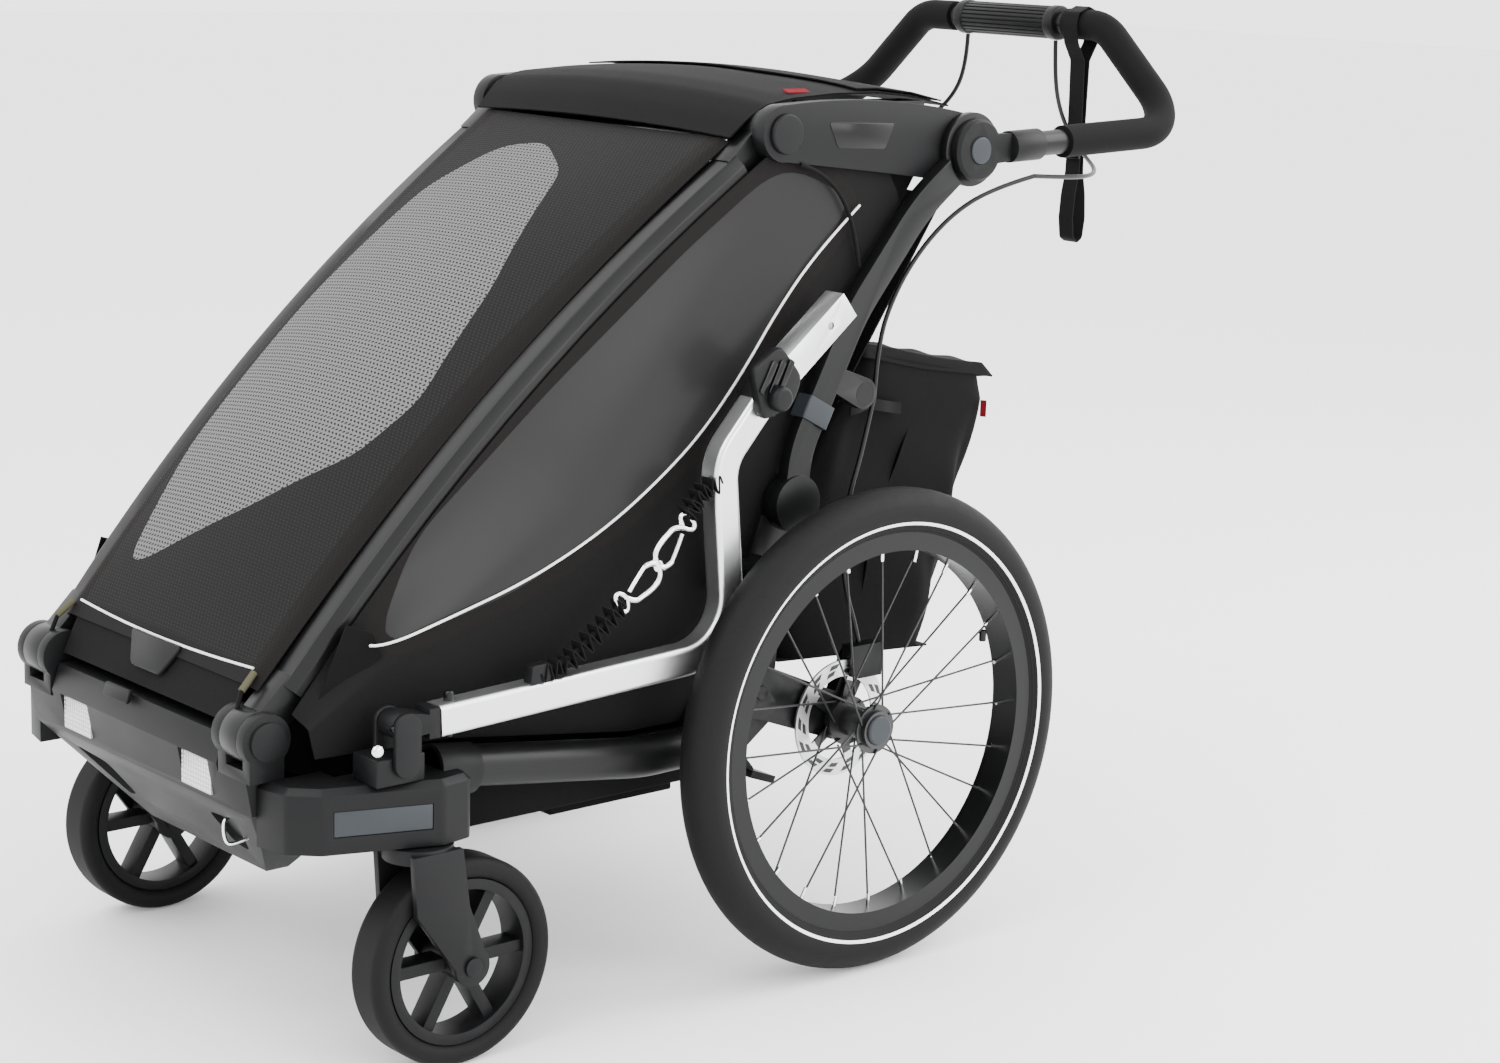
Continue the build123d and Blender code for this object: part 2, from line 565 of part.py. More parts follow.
def handle_hub():
    cap = disc(HANDLE_HINGE, 32.0, COLLAR_X1 + 0.4, CAP_X1)
    cap = chamfer(cap.faces().sort_by(Axis.X)[-1].edges(), 3.0)
    end = (SOCKET[1][1] - 6, SOCKET[1][2])
    cap += strap_plate(HANDLE_HINGE, 16.0, end, 13.0, COLLAR_X1 + 0.4, CAP_X1)
    cap += rod(*SOCKET, 16.5)
    cap += disc(HANDLE_HINGE, PIN_R, LINK_X0 + 1.5, COLLAR_X1 + 1.0)
    cap -= disc(HANDLE_HINGE, 14.0 + GAP, CAP_X1 - 7.0, 300.0)
    return cap - handlebar_tube(BAR_R)


def hub_button():
    body = disc(HANDLE_HINGE, 14.0, CAP_X1 - 3.5, CAP_X1 + 2.0)
    return chamfer(body.faces().sort_by(Axis.X)[-1].edges(), 1.0)


BAR_BENDS = [60.0, 50.0, 50.0, 60.0]


def mirrored_point(point):
    return (-point[0], point[1], point[2])


def handlebar_tube(radius):
    half = [BAR_START, BAR_CORNER, BAR_TOP]
    path = FilletPolyline(*half, *[mirrored_point(p) for p in reversed(half)], radius=BAR_BENDS)
    return along(path, Circle(radius), (1, 0, 0))


def foam_grip():
    path = FilletPolyline(FOAM_START, BAR_CORNER, BAR_TOP, (GRIP_HALF + 12.0, *BAR_TOP[1:]),
                          radius=BAR_BENDS[:2])
    return along(path, Circle(FOAM_R), (1, 0, 0)) - handlebar_tube(BAR_R)


BAR_AXIS = BAR_TOP[1:]


def brake_grip():
    grip = disc(BAR_AXIS, GRIP_R, -GRIP_HALF, GRIP_HALF)
    grip = chamfer(grip.edges(), 3.0)
    return grip - disc(BAR_AXIS, BAR_R + GAP, -200, 200)


def wrist_strap():
    """A webbing loop that hangs from the back of the bar."""
    x0, x1 = 98.0, 120.0
    y, z = BAR_AXIS
    ring = disc(BAR_AXIS, FOAM_R + GAP + 2.2, x0, x1)
    back, low = y + FOAM_R + 2.0, z - 244.0
    loop = block(x0, x1, back - 8, back + 2, low, z - 4) + disc((back - 3, low), 5.0, x0, x1)
    loop -= block(x0, x1, back - 6, back, low, z - 26) + disc((back - 3, low), 3.0, x0, x1)
    return ring + loop - disc(BAR_AXIS, FOAM_R + GAP, 0, 200)


# ---- brake cables ---------------------------------------------------------------------
CABLE_ROUTE = [
    (70, 474, 925.2), (71, 474, 893), (82, 470, 856), (112, 458, 824), (155, 440, 803),
    (198, 412, 793), (232, 368, 790), (248, 312, 792), (254, 256, 796), (253, 200, 786),
    (250, 146, 764), (249, 100, 728), (248, 66, 684), (247, 46, 634), (247, 44, 580),
    (248, 30, 526), (250, 10, 476), (252, 2, 424), (255, 9, 376), (258, 19, 347),
    (259, 24, 326.4)]


def bend_radii(points):
    """The largest arc that each pair of runs leaves room for."""
    radii = []
    for before, here, after in zip(points, points[1:], points[2:]):
        run_in = Vector(*here) - Vector(*before)
        run_out = Vector(*after) - Vector(*here)
        turn = radians(run_in.get_angle(run_out))
        radii.append(0.45 * min(run_in.length, run_out.length) / tan(turn / 2))
    return radii


def brake_cable():
    radii = bend_radii(CABLE_ROUTE)
    path = FilletPolyline(*CABLE_ROUTE, radius=radii)
    cable = along(path, Circle(CABLE_R), (1, 0, 0))
    print("cable length", round(path.length), "radii", [round(r) for r in radii],
          "volume", round(cable.volume), "of", round(pi * CABLE_R ** 2 * path.length))
    return cable


# ---- tow arm ----------------------------------------------------------------------------
ARM_PIVOT = (-556.0, 336.0)
ARM_ROUTE = [(-516.0, 334.0), (-166.0, 350.0), (-185.0, 539.0), (-140.0, 590.0)]
ARM_RADII = [58.0, 48.0]
TIP_HINGE = (-124.0, 608.0)
TIP_END = (-31.0, 683.0)


def hitch_arm():
    path = FilletPolyline(*[(ARM_X, y, z) for y, z in ARM_ROUTE], radius=ARM_RADII)
    outer = RectangleRounded(ARM_W, ARM_H, 5.0)
    inner = RectangleRounded(ARM_W - 2 * ARM_WALL, ARM_H - 2 * ARM_WALL, 3.0)
    return along(path, outer - inner, (1, 0, 0))


def toward(a, b, distance):
    length = hypot(b[0] - a[0], b[1] - a[1])
    return (a[0] + (b[0] - a[0]) * distance / length, a[1] + (b[1] - a[1]) * distance / length)


def arm_plane():
    """The plane of the tow arm's rear end: local X across it, local Z ahead of it."""
    end, before = ARM_ROUTE[-1], ARM_ROUTE[-2]
    way = (0, end[0] - before[0], end[1] - before[1])
    return Plane(origin=(ARM_X, *end), x_dir=(1, 0, 0), z_dir=way)


FORK_T = 5.5             # each cheek of the fork that carries the folding tip
FORK_SPAN = ARM_W + 1.0


def hitch_arm_ends():
    """The eye at the front, and the fork that carries the folding tip."""
    y, z = ARM_ROUTE[0]
    back = y - 0.9
    plug = block(ARM_X0 + 1, ARM_X0 + ARM_W - 1, back - 12, back, z - 14, z + 14)
    plug += strap_plate(ARM_PIVOT, 13.0, (back - 8, z), 8.0, ARM_X - 12, ARM_X + 12)
    front = plug - disc(ARM_PIVOT, 5.0 + RUN, 0, 400)
    reach = hypot(TIP_HINGE[0] - ARM_ROUTE[-1][0], TIP_HINGE[1] - ARM_ROUTE[-1][1])
    low = (Align.CENTER, Align.CENTER, Align.MIN)
    fork = arm_plane() * Box(FORK_SPAN, ARM_H + 4, reach, align=low)
    fork += disc(TIP_HINGE, 17.0, ARM_X - FORK_SPAN / 2, ARM_X + FORK_SPAN / 2)
    fork -= disc(TIP_HINGE, 17.8, ARM_X - FORK_SPAN / 2 + FORK_T, ARM_X + FORK_SPAN / 2 - FORK_T)
    fork += disc(TIP_HINGE, 5.0, ARM_X - FORK_SPAN / 2, ARM_X + FORK_SPAN / 2)
    return front, fork


def hitch_tip():
    inner = FORK_SPAN / 2 - FORK_T - GAP
    eye = disc(TIP_HINGE, 17.0, ARM_X - inner, ARM_X + inner)
    start = toward(TIP_HINGE, TIP_END, 20.0)
    way = Vector(0, TIP_END[0] - TIP_HINGE[0], TIP_END[1] - TIP_HINGE[1])
    length = hypot(TIP_END[0] - start[0], TIP_END[1] - start[1])
    low = (Align.CENTER, Align.CENTER, Align.MIN)
    plane = Plane(origin=(ARM_X, *start), x_dir=(1, 0, 0), z_dir=way)
    box = plane * Box(ARM_W, ARM_H, length, align=low)
    neck = strap_plate(TIP_HINGE, 10.0, toward(TIP_HINGE, TIP_END, 24.0), 10.0,
                       ARM_X - inner, ARM_X + inner)
    hollow = plane * Pos(0, 0, 12) * Box(ARM_W - 5, ARM_H - 5, length, align=low)
    tip = box - hollow + eye + neck
    hole_at = toward(TIP_HINGE, TIP_END, 88.0)
    tip -= disc(hole_at, 4.0, 0, 400)
    return tip - disc(TIP_HINGE, 5.0 + RUN, 0, 400)


def hitch_receiver():
    y, z = ARM_PIVOT
    base = block(ARM_X0 - 14, ARM_X0 + ARM_W, y - 30, y + 22, WING_Z1, WING_Z1 + 26)
    x_in, x_out = ARM_X - 13.5, ARM_X + 13.5
    for x0, x1 in ((x_in - 6, x_in), (x_out, x_out + 6)):
        base += strap_plate((y, WING_Z1 + 20), 14.0, (y, z), 14.0, x0, x1)
    base -= disc((y, z), 16.0, x_in, x_out)
    base -= block(0, 400, y - 60, y + 60, WING_Z1 - 60, WING_Z1)
    return base + disc((y, z), 5.0, x_in - 6, x_out + 6)


def hitch_rest():
    """The pad behind the arm's upright part, on the rear bracket."""
    pad = block(BRACKET_X1, ARM_X0 + ARM_W - 4, -155.4, -100.0, 398.0, 430.0)
    return pad


# ---- soft parts ----------------------------------------------------------------------------
def side_panel():
    outline = [(-588.0, 351.0), on_front_tube(702, -22), (-62.0, 792.0), (38.0, 780.0),
               (72.0, 742.0), (2.0, 655.0), (-58.0, 545.0), (-80.0, 450.0), (-88.0, 300.0),
               (-132.0, 272.0), (-255.0, 270.5), (-470.0, 299.0), (-588.0, 303.0)]
    return slab(outline, BRACKET_X0 - GAP - PANEL_T, BRACKET_X0 - GAP)


def seat_base():
    low = REAR_CROSS_AT[1] + EAR_R + GAP
    outline = [(-100.0, low), (-100.0, 320.0), (-350.0, 332.0), (-372.0, 318.0),
               (-366.0, low + 6), (-140.0, low)]
    return slab(outline, -188.0, 188.0)


def seat_back():
    outline = [(-124.0, 321.5), (-100.0, 320.3), (22.0, 668.0), (-2.0, 680.0), (-40.0, 600.0)]
    return slab(outline, -185.0, 185.0)


TRAY_X = 224.5
TRAY_Y0, TRAY_Y1 = -583.5, -126.3
TRAY_Z0, TRAY_Z1 = 204.0, 262.0


def floor_tray():
    wall = 5.0
    outer = block(-TRAY_X, TRAY_X, TRAY_Y0, TRAY_Y1, TRAY_Z0, TRAY_Z1)
    inner = block(-TRAY_X + wall, TRAY_X - wall, TRAY_Y0 + wall, TRAY_Y1 - wall,
                  TRAY_Z0 + wall, TRAY_Z1 + 10)
    plate = block(-205.0, 205.0, -330.0, -176.0, TRAY_Z0 - 14.0, TRAY_Z0)
    return outer - inner, plate


def cargo_bag():
    outer = [(64.6, 622.0), (246.0, 584.0), (258.0, 560.0), (192.0, 285.0), (130.0, 262.0),
             (-30.0, 300.0), (-40.0, 430.0), (20.0, 545.0), (52.0, 570.0)]
    inner = [(72.0, 640.0), (240.0, 605.0), (252.0, 560.0), (187.0, 289.0), (130.0, 268.0),
             (-25.0, 305.0), (-34.0, 430.0), (24.0, 541.0), (58.0, 568.0)]
    return slab(outer, -212.0, 212.0) - slab(inner, -207.0, 207.0)


def safety_straps():
    """Two shirred webbing tethers that hang from the tow arm and hook together."""
    x0, x1 = ARM_X + 2.0, ARM_X + 10.0
    low_anchor, top_anchor = (-380.0, 360.6), (-199.1, 474.0)
    low_end, top_end = (-300.0, 420.0), (-222.0, 470.0)
    ring = (-262.0, 446.0)
    low = strap_plate(low_anchor, 5.0, low_end, 5.0, x0, x1)
    top = strap_plate(top_anchor, 5.0, top_end, 5.0, x0, x1)
    hook_a = strap_plate(toward(low_end, ring, 8.3), 3.0, ring, 3.0, x0 + 2, x1 - 2)
    hook_b = strap_plate(toward(top_end, ring, 8.3), 3.0, ring, 3.0, x0 + 2, x1 - 2)
    return low, top, hook_a + hook_b


# ---- build ------------------------------------------------------------------------------------
os.makedirs("parts", exist_ok=True)
save_pair("rear_tyre", rear_tyre())
save_pair("rear_rim", rear_rim())
spokes = Compound(rear_spokes())
save_pair("rear_spokes", spokes)
save_pair("rear_hub", Compound(list(rear_hub())))
save_pair("axle_button", axle_button())
save_pair("swing_arm", swing_arm())
save_pair("caster_fork", Compound([solid for part in caster_fork() for solid in part.solids()]))
save_pair("caster_tyre", caster_tyre())
save_pair("caster_rim", caster_rim())
save_pair("caster_wing", caster_wing())
save_pair("caster_release", caster_release())
save("front_shield", front_shield())
save("front_reflectors", reflector(-1), reflector(1))
tube = base_side_tube()
save("base_side_tubes", tube, other_side(tube))
save("base_cross_tubes", front_cross_tube(), rear_cross_tube())
hub = front_pivot_hub()
save("front_pivot_hubs", hub, other_side(hub))
save_pair("front_tube", front_tube())
save("front_top_bar", front_top_bar())
save("front_cover", front_cover())
save_pair("upright", upright())
save("rear_cross_bar", rear_cross_bar())
save("rear_panel", rear_panel())
save_pair("latch_collar", latch_collar())
bracket = rear_bracket()
save("rear_frame_brackets", bracket, other_side(bracket), hitch_rest(), *pedal_ears())
save("brake_pedal", brake_pedal())
save_pair("top_link", top_link())
save("roof_panel", roof_panel())
hub = handle_hub()
save("handle_hubs", hub, other_side(hub))
save_pair("hub_button", hub_button())
save("handlebar", handlebar_tube(BAR_R) - handlebar_tube(BAR_R - BAR_WALL))
foam = foam_grip()
save("foam_grips", foam, other_side(foam))
save("brake_grip", brake_grip())
save("wrist_strap", wrist_strap())
cable = brake_cable()
save("brake_cables", cable, other_side(cable))
save("hitch_arm", hitch_arm())
save("hitch_arm_ends", *hitch_arm_ends())
save("hitch_tip", hitch_tip())
save("hitch_receiver", hitch_receiver())
save("safety_straps", *safety_straps())
panel = side_panel()
save("side_panels", panel, other_side(panel))
save("seat_base", seat_base())
save("seat_back", seat_back())
save("floor_tray", *floor_tray())
save("cargo_bag", cargo_bag())
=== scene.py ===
# %% [markdown]
# The trailer's frame, wheels and levers come from the imported model. They are loaded first, because
# every fabric panel, pad and cord takes its place from them.

# %% Load the frame
import json
from math import atan2, cos, degrees, hypot, pi, radians, sin

import bpy
from mathutils import Matrix, Vector

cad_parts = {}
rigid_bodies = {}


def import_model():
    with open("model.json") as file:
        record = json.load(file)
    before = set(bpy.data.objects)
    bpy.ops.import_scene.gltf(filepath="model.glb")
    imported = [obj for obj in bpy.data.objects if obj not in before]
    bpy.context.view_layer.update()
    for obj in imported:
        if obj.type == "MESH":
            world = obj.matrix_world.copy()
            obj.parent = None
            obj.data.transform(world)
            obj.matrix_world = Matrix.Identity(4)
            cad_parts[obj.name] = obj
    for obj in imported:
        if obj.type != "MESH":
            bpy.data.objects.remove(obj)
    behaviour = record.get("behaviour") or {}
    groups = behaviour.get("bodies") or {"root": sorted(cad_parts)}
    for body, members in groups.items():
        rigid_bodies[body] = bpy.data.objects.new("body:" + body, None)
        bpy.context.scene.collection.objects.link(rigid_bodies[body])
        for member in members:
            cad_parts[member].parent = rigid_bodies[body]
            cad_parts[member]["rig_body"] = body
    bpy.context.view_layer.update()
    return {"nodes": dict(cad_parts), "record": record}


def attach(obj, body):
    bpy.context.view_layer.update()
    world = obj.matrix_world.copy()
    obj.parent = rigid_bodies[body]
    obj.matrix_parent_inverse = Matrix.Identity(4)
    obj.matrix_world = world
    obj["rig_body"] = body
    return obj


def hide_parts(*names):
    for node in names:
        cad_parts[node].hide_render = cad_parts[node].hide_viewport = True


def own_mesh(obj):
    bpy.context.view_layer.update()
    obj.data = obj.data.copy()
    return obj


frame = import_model()
NODES = frame["nodes"]
SIDES = {"left": 1, "right": -1}
print("loaded", len(NODES), "nodes")

# %% [markdown]
# The camera looks at the trailer from its left front corner, a little above it, through a long
# lens, and leans slightly. It is placed first, so that every later piece can be judged in view.

# %% Camera
AZIMUTH, ELEVATION, LEAN = radians(48.743), radians(12.067), radians(1.806)
back = Vector((sin(AZIMUTH) * cos(ELEVATION), -cos(AZIMUTH) * cos(ELEVATION), sin(ELEVATION)))
level = Vector((cos(AZIMUTH), sin(AZIMUTH), 0))
right = level * cos(LEAN) + back.cross(level) * sin(LEAN)
up = back.cross(right)
lens = bpy.data.cameras.new("camera")
lens.lens, lens.clip_end = 70.7, 50.0
camera = bpy.data.objects.new("camera", lens)
camera.matrix_world = Matrix.Translation((2.39625, -2.00374, 1.06833)) @ Matrix(
    (right, up, back)).transposed().to_4x4()
bpy.context.scene.collection.objects.link(camera)
bpy.context.scene.camera = camera
print("camera at", [round(value, 2) for value in camera.location])

# %% [markdown]
# A black object needs light that draws its edges. Large soft panels do that: one from the upper
# left for the tops of the tubes, one from behind for their rims, and a weak one from the right.
# The world gives an even pale fill, and the floor is a plain pale sheet that catches a soft shadow.

# %% Light and floor
def panel_light(name, place, target, size, power):
    """A large square lamp at a place, turned to its target."""
    lamp = bpy.data.lights.new(name, "AREA")
    lamp.energy, lamp.size = power, size
    holder = bpy.data.objects.new(name, lamp)
    holder.location = place
    holder.rotation_euler = (Vector(target) - Vector(place)).to_track_quat("-Z", "Y").to_euler()
    bpy.context.scene.collection.objects.link(holder)
    return holder


CENTRE = (0, -0.1, 0.45)
panel_light("key", (0.2, -2.6, 3.4), CENTRE, 2.6, 110)
panel_light("rim", (1.6, 2.6, 2.6), CENTRE, 2.4, 120)
panel_light("side", (3.6, 0.6, 1.6), CENTRE, 2.2, 80)
world = bpy.data.worlds.new("studio")
bpy.context.scene.world = world
world.use_nodes = True
world.node_tree.nodes["Background"].inputs["Color"].default_value = (1, 1, 1, 1)
world.node_tree.nodes["Background"].inputs["Strength"].default_value = 3.0


def deselect():
    """Object mode with nothing selected: an operator then acts on the new piece alone."""
    if bpy.context.mode != "OBJECT":
        bpy.ops.object.mode_set(mode="OBJECT")
    bpy.ops.object.select_all(action="DESELECT")


def active(name):
    """Names the piece that an operator has just made, and puts its place into its mesh."""
    piece = bpy.context.object
    bpy.ops.object.transform_apply(location=True, rotation=True, scale=True)
    piece.name = piece.data.name = name
    return piece


deselect()
bpy.ops.mesh.primitive_plane_add(size=40, location=(0, 0, 0))
floor = active("floor")
bpy.ops.object.mode_set(mode="EDIT")
bpy.ops.mesh.subdivide(number_cuts=3)
bpy.ops.object.mode_set(mode="OBJECT")

# %% [markdown]
# Materials are written as Python: a Wire is the value that comes out of a node, and its operators
# add the Math nodes. A Finish is one material. Its node method makes any other kind of node, and
# numbers that are the same all over go straight onto the shader's own sockets.

# %% Shader maths
class Wire:
    """A value in a material. Python's operators on it add Math nodes."""

    def __init__(self, finish, socket):
        self.finish, self.socket = finish, socket

    def math(self, operation, *others):
        return self.finish.node("ShaderNodeMath", {"operation": operation}, [self, *others])

    def __add__(self, other):
        return self.math("ADD", other)

    def __mul__(self, other):
        return self.math("MULTIPLY", other)

    def __sub__(self, other):
        return self.math("SUBTRACT", other)

    def __rsub__(self, other):
        return self.finish.node("ShaderNodeMath", {"operation": "SUBTRACT"}, [other, self])

    def __truediv__(self, other):
        return self.math("DIVIDE", other)

    def __gt__(self, other):
        return self.math("GREATER_THAN", other)

    def __lt__(self, other):
        return self.math("LESS_THAN", other)

    def __abs__(self):
        return self.math("ABSOLUTE")

    def wave(self, pitch):
        """From 0 to 1 and back in each pitch."""
        return (self * (2 * pi / pitch)).math("SINE") * 0.5 + 0.5

    __radd__, __rmul__ = __add__, __mul__


class Finish:
    """One material: its shader, and the nodes that drive it."""

    def __init__(self, name, colour, roughness, **sockets):
        self.material = bpy.data.materials.new(name)
        self.material.use_nodes = True
        self.tree = self.material.node_tree
        self.shader = self.tree.nodes["Principled BSDF"]
        self.colour = (*colour, 1)
        self.put("Base Color", self.colour)
        self.put("Roughness", roughness)
        for socket, value in sockets.items():
            self.put(socket.replace("_", " "), value)

    def put(self, socket, value):
        """Sets one of the shader's sockets, or links a wire to it."""
        if isinstance(value, Wire):
            self.tree.links.new(value.socket, self.shader.inputs[socket])
        else:
            self.shader.inputs[socket].default_value = value

    def node(self, kind, settings=None, inputs=(), output=0):
        made = self.tree.nodes.new(kind)
        for key, value in (settings or {}).items():
            setattr(made, key, value)
        pairs = inputs.items() if isinstance(inputs, dict) else enumerate(inputs)
        for key, value in pairs:
            if isinstance(value, Wire):
                self.tree.links.new(value.socket, made.inputs[key])
            else:
                made.inputs[key].default_value = value
        return Wire(self, made.outputs[output])

    def place(self):
        return self.node("ShaderNodeTexCoord", output=3)

    def axes(self):
        """The object's own x, y and z, in metres."""
        spot = self.place()
        return [self.node("ShaderNodeSeparateXYZ", None, [spot], number) for number in range(3)]

    def uv(self):
        spot = self.node("ShaderNodeTexCoord", output=2)
        return [self.node("ShaderNodeSeparateXYZ", None, [spot], number) for number in range(2)]

    def attribute(self, name):
        return self.node("ShaderNodeAttribute", {"attribute_name": name}, output=2)

    def noise(self, scale, detail=3.0, spot=None):
        inputs = {"Vector": spot or self.place(), "Scale": scale, "Detail": detail}
        return self.node("ShaderNodeTexNoise", None, inputs)

    def mix(self, share, first, second):
        """A colour between two, by a share from 0 to 1."""
        inputs = {0: share, 6: first, 7: second}
        settings = {"data_type": "RGBA", "clamp_factor": True}
        return self.node("ShaderNodeMix", settings, inputs, 2)

    def bump(self, height, depth, strength=1.0):
        """Raises the surface by up to depth metres where height is 1."""
        inputs = {"Height": height, "Distance": depth, "Strength": strength}
        self.put("Normal", self.node("ShaderNodeBump", None, inputs))


def shade(colour, factor):
    return tuple(min(1.0, part * factor) for part in colour[:3]) + (1.0,)


pale = Finish("pale_floor", (0.93, 0.93, 0.93), 0.6)
pale.put("Base Color", pale.mix(pale.noise(0.6), (0.93, 0.93, 0.93, 1), (0.91, 0.91, 0.912, 1)))
floor.data.materials.append(pale.material)
print("shader tools ready")

# %% [markdown]
# Moulded plastic is never one flat black. It has a fine spark-eroded grain, and patches that are a
# little more worn: lighter and a little rougher. Fine noise gives the grain and coarse noise the
# patches. The painted tubes use the same recipe with a smoother, glossier skin.

# %% Plastic and paint
def grained(name, colour, roughness, grain=0.00012, scale=1400.0, **sockets):
    """A moulded or painted skin: fine grain, and coarse patches of wear."""
    finish = Finish(name, colour, roughness, **sockets)
    patches = finish.noise(9.0, 5.0)
    finish.put("Base Color", finish.mix(patches, shade(colour, 0.8), shade(colour, 1.25)))
    finish.put("Roughness", patches * 0.16 + (roughness - 0.08))
    finish.bump(finish.noise(scale, 2.0), grain)
    return finish.material


BLACK = (0.0034, 0.0035, 0.0039)
shell = grained("moulded_black", BLACK, 0.46, Specular_IOR_Level=0.15)
paint = grained("painted_black", (0.003, 0.0031, 0.0034), 0.34, 0.00004, 900.0,
                Specular_IOR_Level=0.2)
touch = grained("moulded_grey_blue", (0.017, 0.0205, 0.0245), 0.42, Specular_IOR_Level=0.25)
gloss = grained("smooth_black", (0.0025, 0.0025, 0.0028), 0.22, 0.00001, 700.0,
                Specular_IOR_Level=0.22)
caster_rubber = grained("caster_rubber", (0.0034, 0.0034, 0.0035), 0.62, Specular_IOR_Level=0.12)
print("plastics", [material.name for material in (shell, paint, touch, gloss, caster_rubber)])

# %% [markdown]
# The tow arm is satin anodised aluminium: drawn along its length, so its fine lines and its
# slightly stretched gloss run along the tube. Hooks and screws are chrome, and the disc brake is
# brushed steel with a black centre. The windows in its ring are not cut: they are painted dark,
# with a shallow bump, partly for the black parts behind them and partly as painted shade.

# %% Metals
def brushed(name, colour, roughness, across=3000.0):
    finish = Finish(name, colour, roughness, Metallic=1.0)
    x, y, z = finish.axes()
    spot = finish.node("ShaderNodeCombineXYZ", None, [x * across, y * 30.0, z * 30.0])
    lines = finish.node("ShaderNodeTexNoise", None, {"Vector": spot, "Scale": 1.0, "Detail": 2.0})
    finish.put("Roughness", lines * 0.14 + (roughness - 0.05))
    finish.put("Base Color", finish.mix(lines, shade(colour, 0.93), shade(colour, 1.05)))
    finish.bump(lines, 0.00001)
    return finish.material


silver = brushed("anodised_aluminium", (0.74, 0.745, 0.75), 0.3)
chrome = grained("chrome", (0.84, 0.84, 0.84), 0.1, 0.000002, 200.0, Metallic=1.0)
wire_steel = grained("spoke_steel", (0.035, 0.035, 0.037), 0.34, 0.00001, 500.0, Metallic=0.9)

AXLE = Vector((0, 0, 0.25))
WHEEL_X = 0.314             # mid-plane of a rear wheel
ROTOR_X = (0.2588, 0.2624)  # inner and outer face of the brake disc
ROTOR_MID = 0.053           # radius of the middle of its ring


def polar(finish):
    """x, the radius about the rear axle, and the turn about it."""
    x, y, z = finish.axes()
    z = z - AXLE.z
    radius = (y * y + z * z).math("SQRT")
    return abs(x), radius, z.math("ARCTAN2", y)


hub_finish = Finish("hub_and_disc", (0.6, 0.6, 0.61), 0.3)
x, radius, turn = polar(hub_finish)
in_disc = (x > ROTOR_X[0]) * (x < ROTOR_X[1]) * (radius > 0.040)
# painted shade: the disc's windows are painted dark for the black parts and shade seen through them
holes = ((turn * 14.0 + radius * 260.0).math("SINE") > 0.1) * (abs(radius - ROTOR_MID) < 0.0052)
holes = holes * (abs(radius - ROTOR_MID) > 0.0009)
silver_part = in_disc * (1.0 - holes)
hub_finish.put("Base Color", hub_finish.mix(silver_part, (0.004, 0.004, 0.0045, 1),
                                           (0.62, 0.62, 0.63, 1)))
hub_finish.put("Metallic", silver_part)
hub_finish.put("Roughness", hub_finish.noise(600.0) * 0.15 + 0.26)
hub_finish.bump(silver_part, 0.0008)
disc_steel = hub_finish.material
print("metals", silver.name, chrome.name, wire_steel.name, disc_steel.name)

# %% [markdown]
# The rear tyre has a reflecting white stripe round its side, fine moulded rings near the rim, and
# a low road tread whose grooves lean across the shoulder. All of that follows the radius and the
# turn about the axle, so one material serves both tyres.

# %% Tyre rubber
tyre = Finish("tyre_rubber", (0.003, 0.003, 0.0031), 0.66, Specular_IOR_Level=0.13)
x, radius, turn = polar(tyre)
side = abs(x - WHEEL_X)
stripe = (abs(radius - 0.2165) < 0.0016) * (side > 0.012)
shoulder = (radius > 0.2345)
groove = ((turn * 44.0 + side * 150.0).math("SINE") > 0.86) * shoulder
zigzag = side * 620.0 + (turn * 88.0).math("SINE") * 0.6
centre_line = (zigzag.math("SINE") > 0.8) * (radius > 0.243)
rings = (radius * 2400.0).math("SINE") * 0.5 + 0.5
near_rim = (radius < 0.2125)
edge_line = abs(radius - 0.2335) < 0.0007
dust = tyre.noise(60.0, 4.0)
plain = tyre.mix(dust, (0.0028, 0.0028, 0.0029, 1), (0.005, 0.005, 0.0052, 1))
tyre.put("Base Color", tyre.mix(stripe, plain, (0.86, 0.86, 0.86, 1)))
tyre.put("Roughness", dust * 0.16 + 0.56)
height = 1.0 - groove - centre_line * 0.7 - edge_line * 0.5 + near_rim * rings * 0.25
tyre.bump(height + tyre.noise(1500.0) * 0.06, 0.0012)
tyre_rubber = tyre.material
print("tyre", len(tyre.tree.nodes), "nodes")

# %% [markdown]
# Fabric is what covers most of the trailer: a coated black weave. Its threads are about a
# millimetre and a half across, so they are a bump of crossed waves, with the slow folds that a
# stretched panel keeps. A little sheen lifts its edges as real fibres do.

# %% Fabrics
def woven(name, colour, pitch=0.0016, slack=0.0016, roughness=0.82):
    """A plain weave on the object's own axes, with slow folds."""
    finish = Finish(name, colour, roughness, Sheen_Weight=0.01, Sheen_Roughness=0.5,
                    Specular_IOR_Level=0.07)
    x, y, z = finish.axes()
    warp = (y + z).wave(pitch)
    weft = (x + z * 0.6 - y * 0.6).wave(pitch)
    folds = finish.noise(7.0, 3.0)
    fibre = finish.noise(900.0, 2.0)
    finish.put("Base Color", finish.mix(fibre * 0.6 + folds * 0.4, shade(colour, 0.7),
                                       shade(colour, 1.35)))
    finish.put("Roughness", fibre * 0.14 + (roughness - 0.07))
    finish.bump(warp * weft * 0.12 + folds * (slack / 0.001) * 0.9, 0.001)
    return finish.material


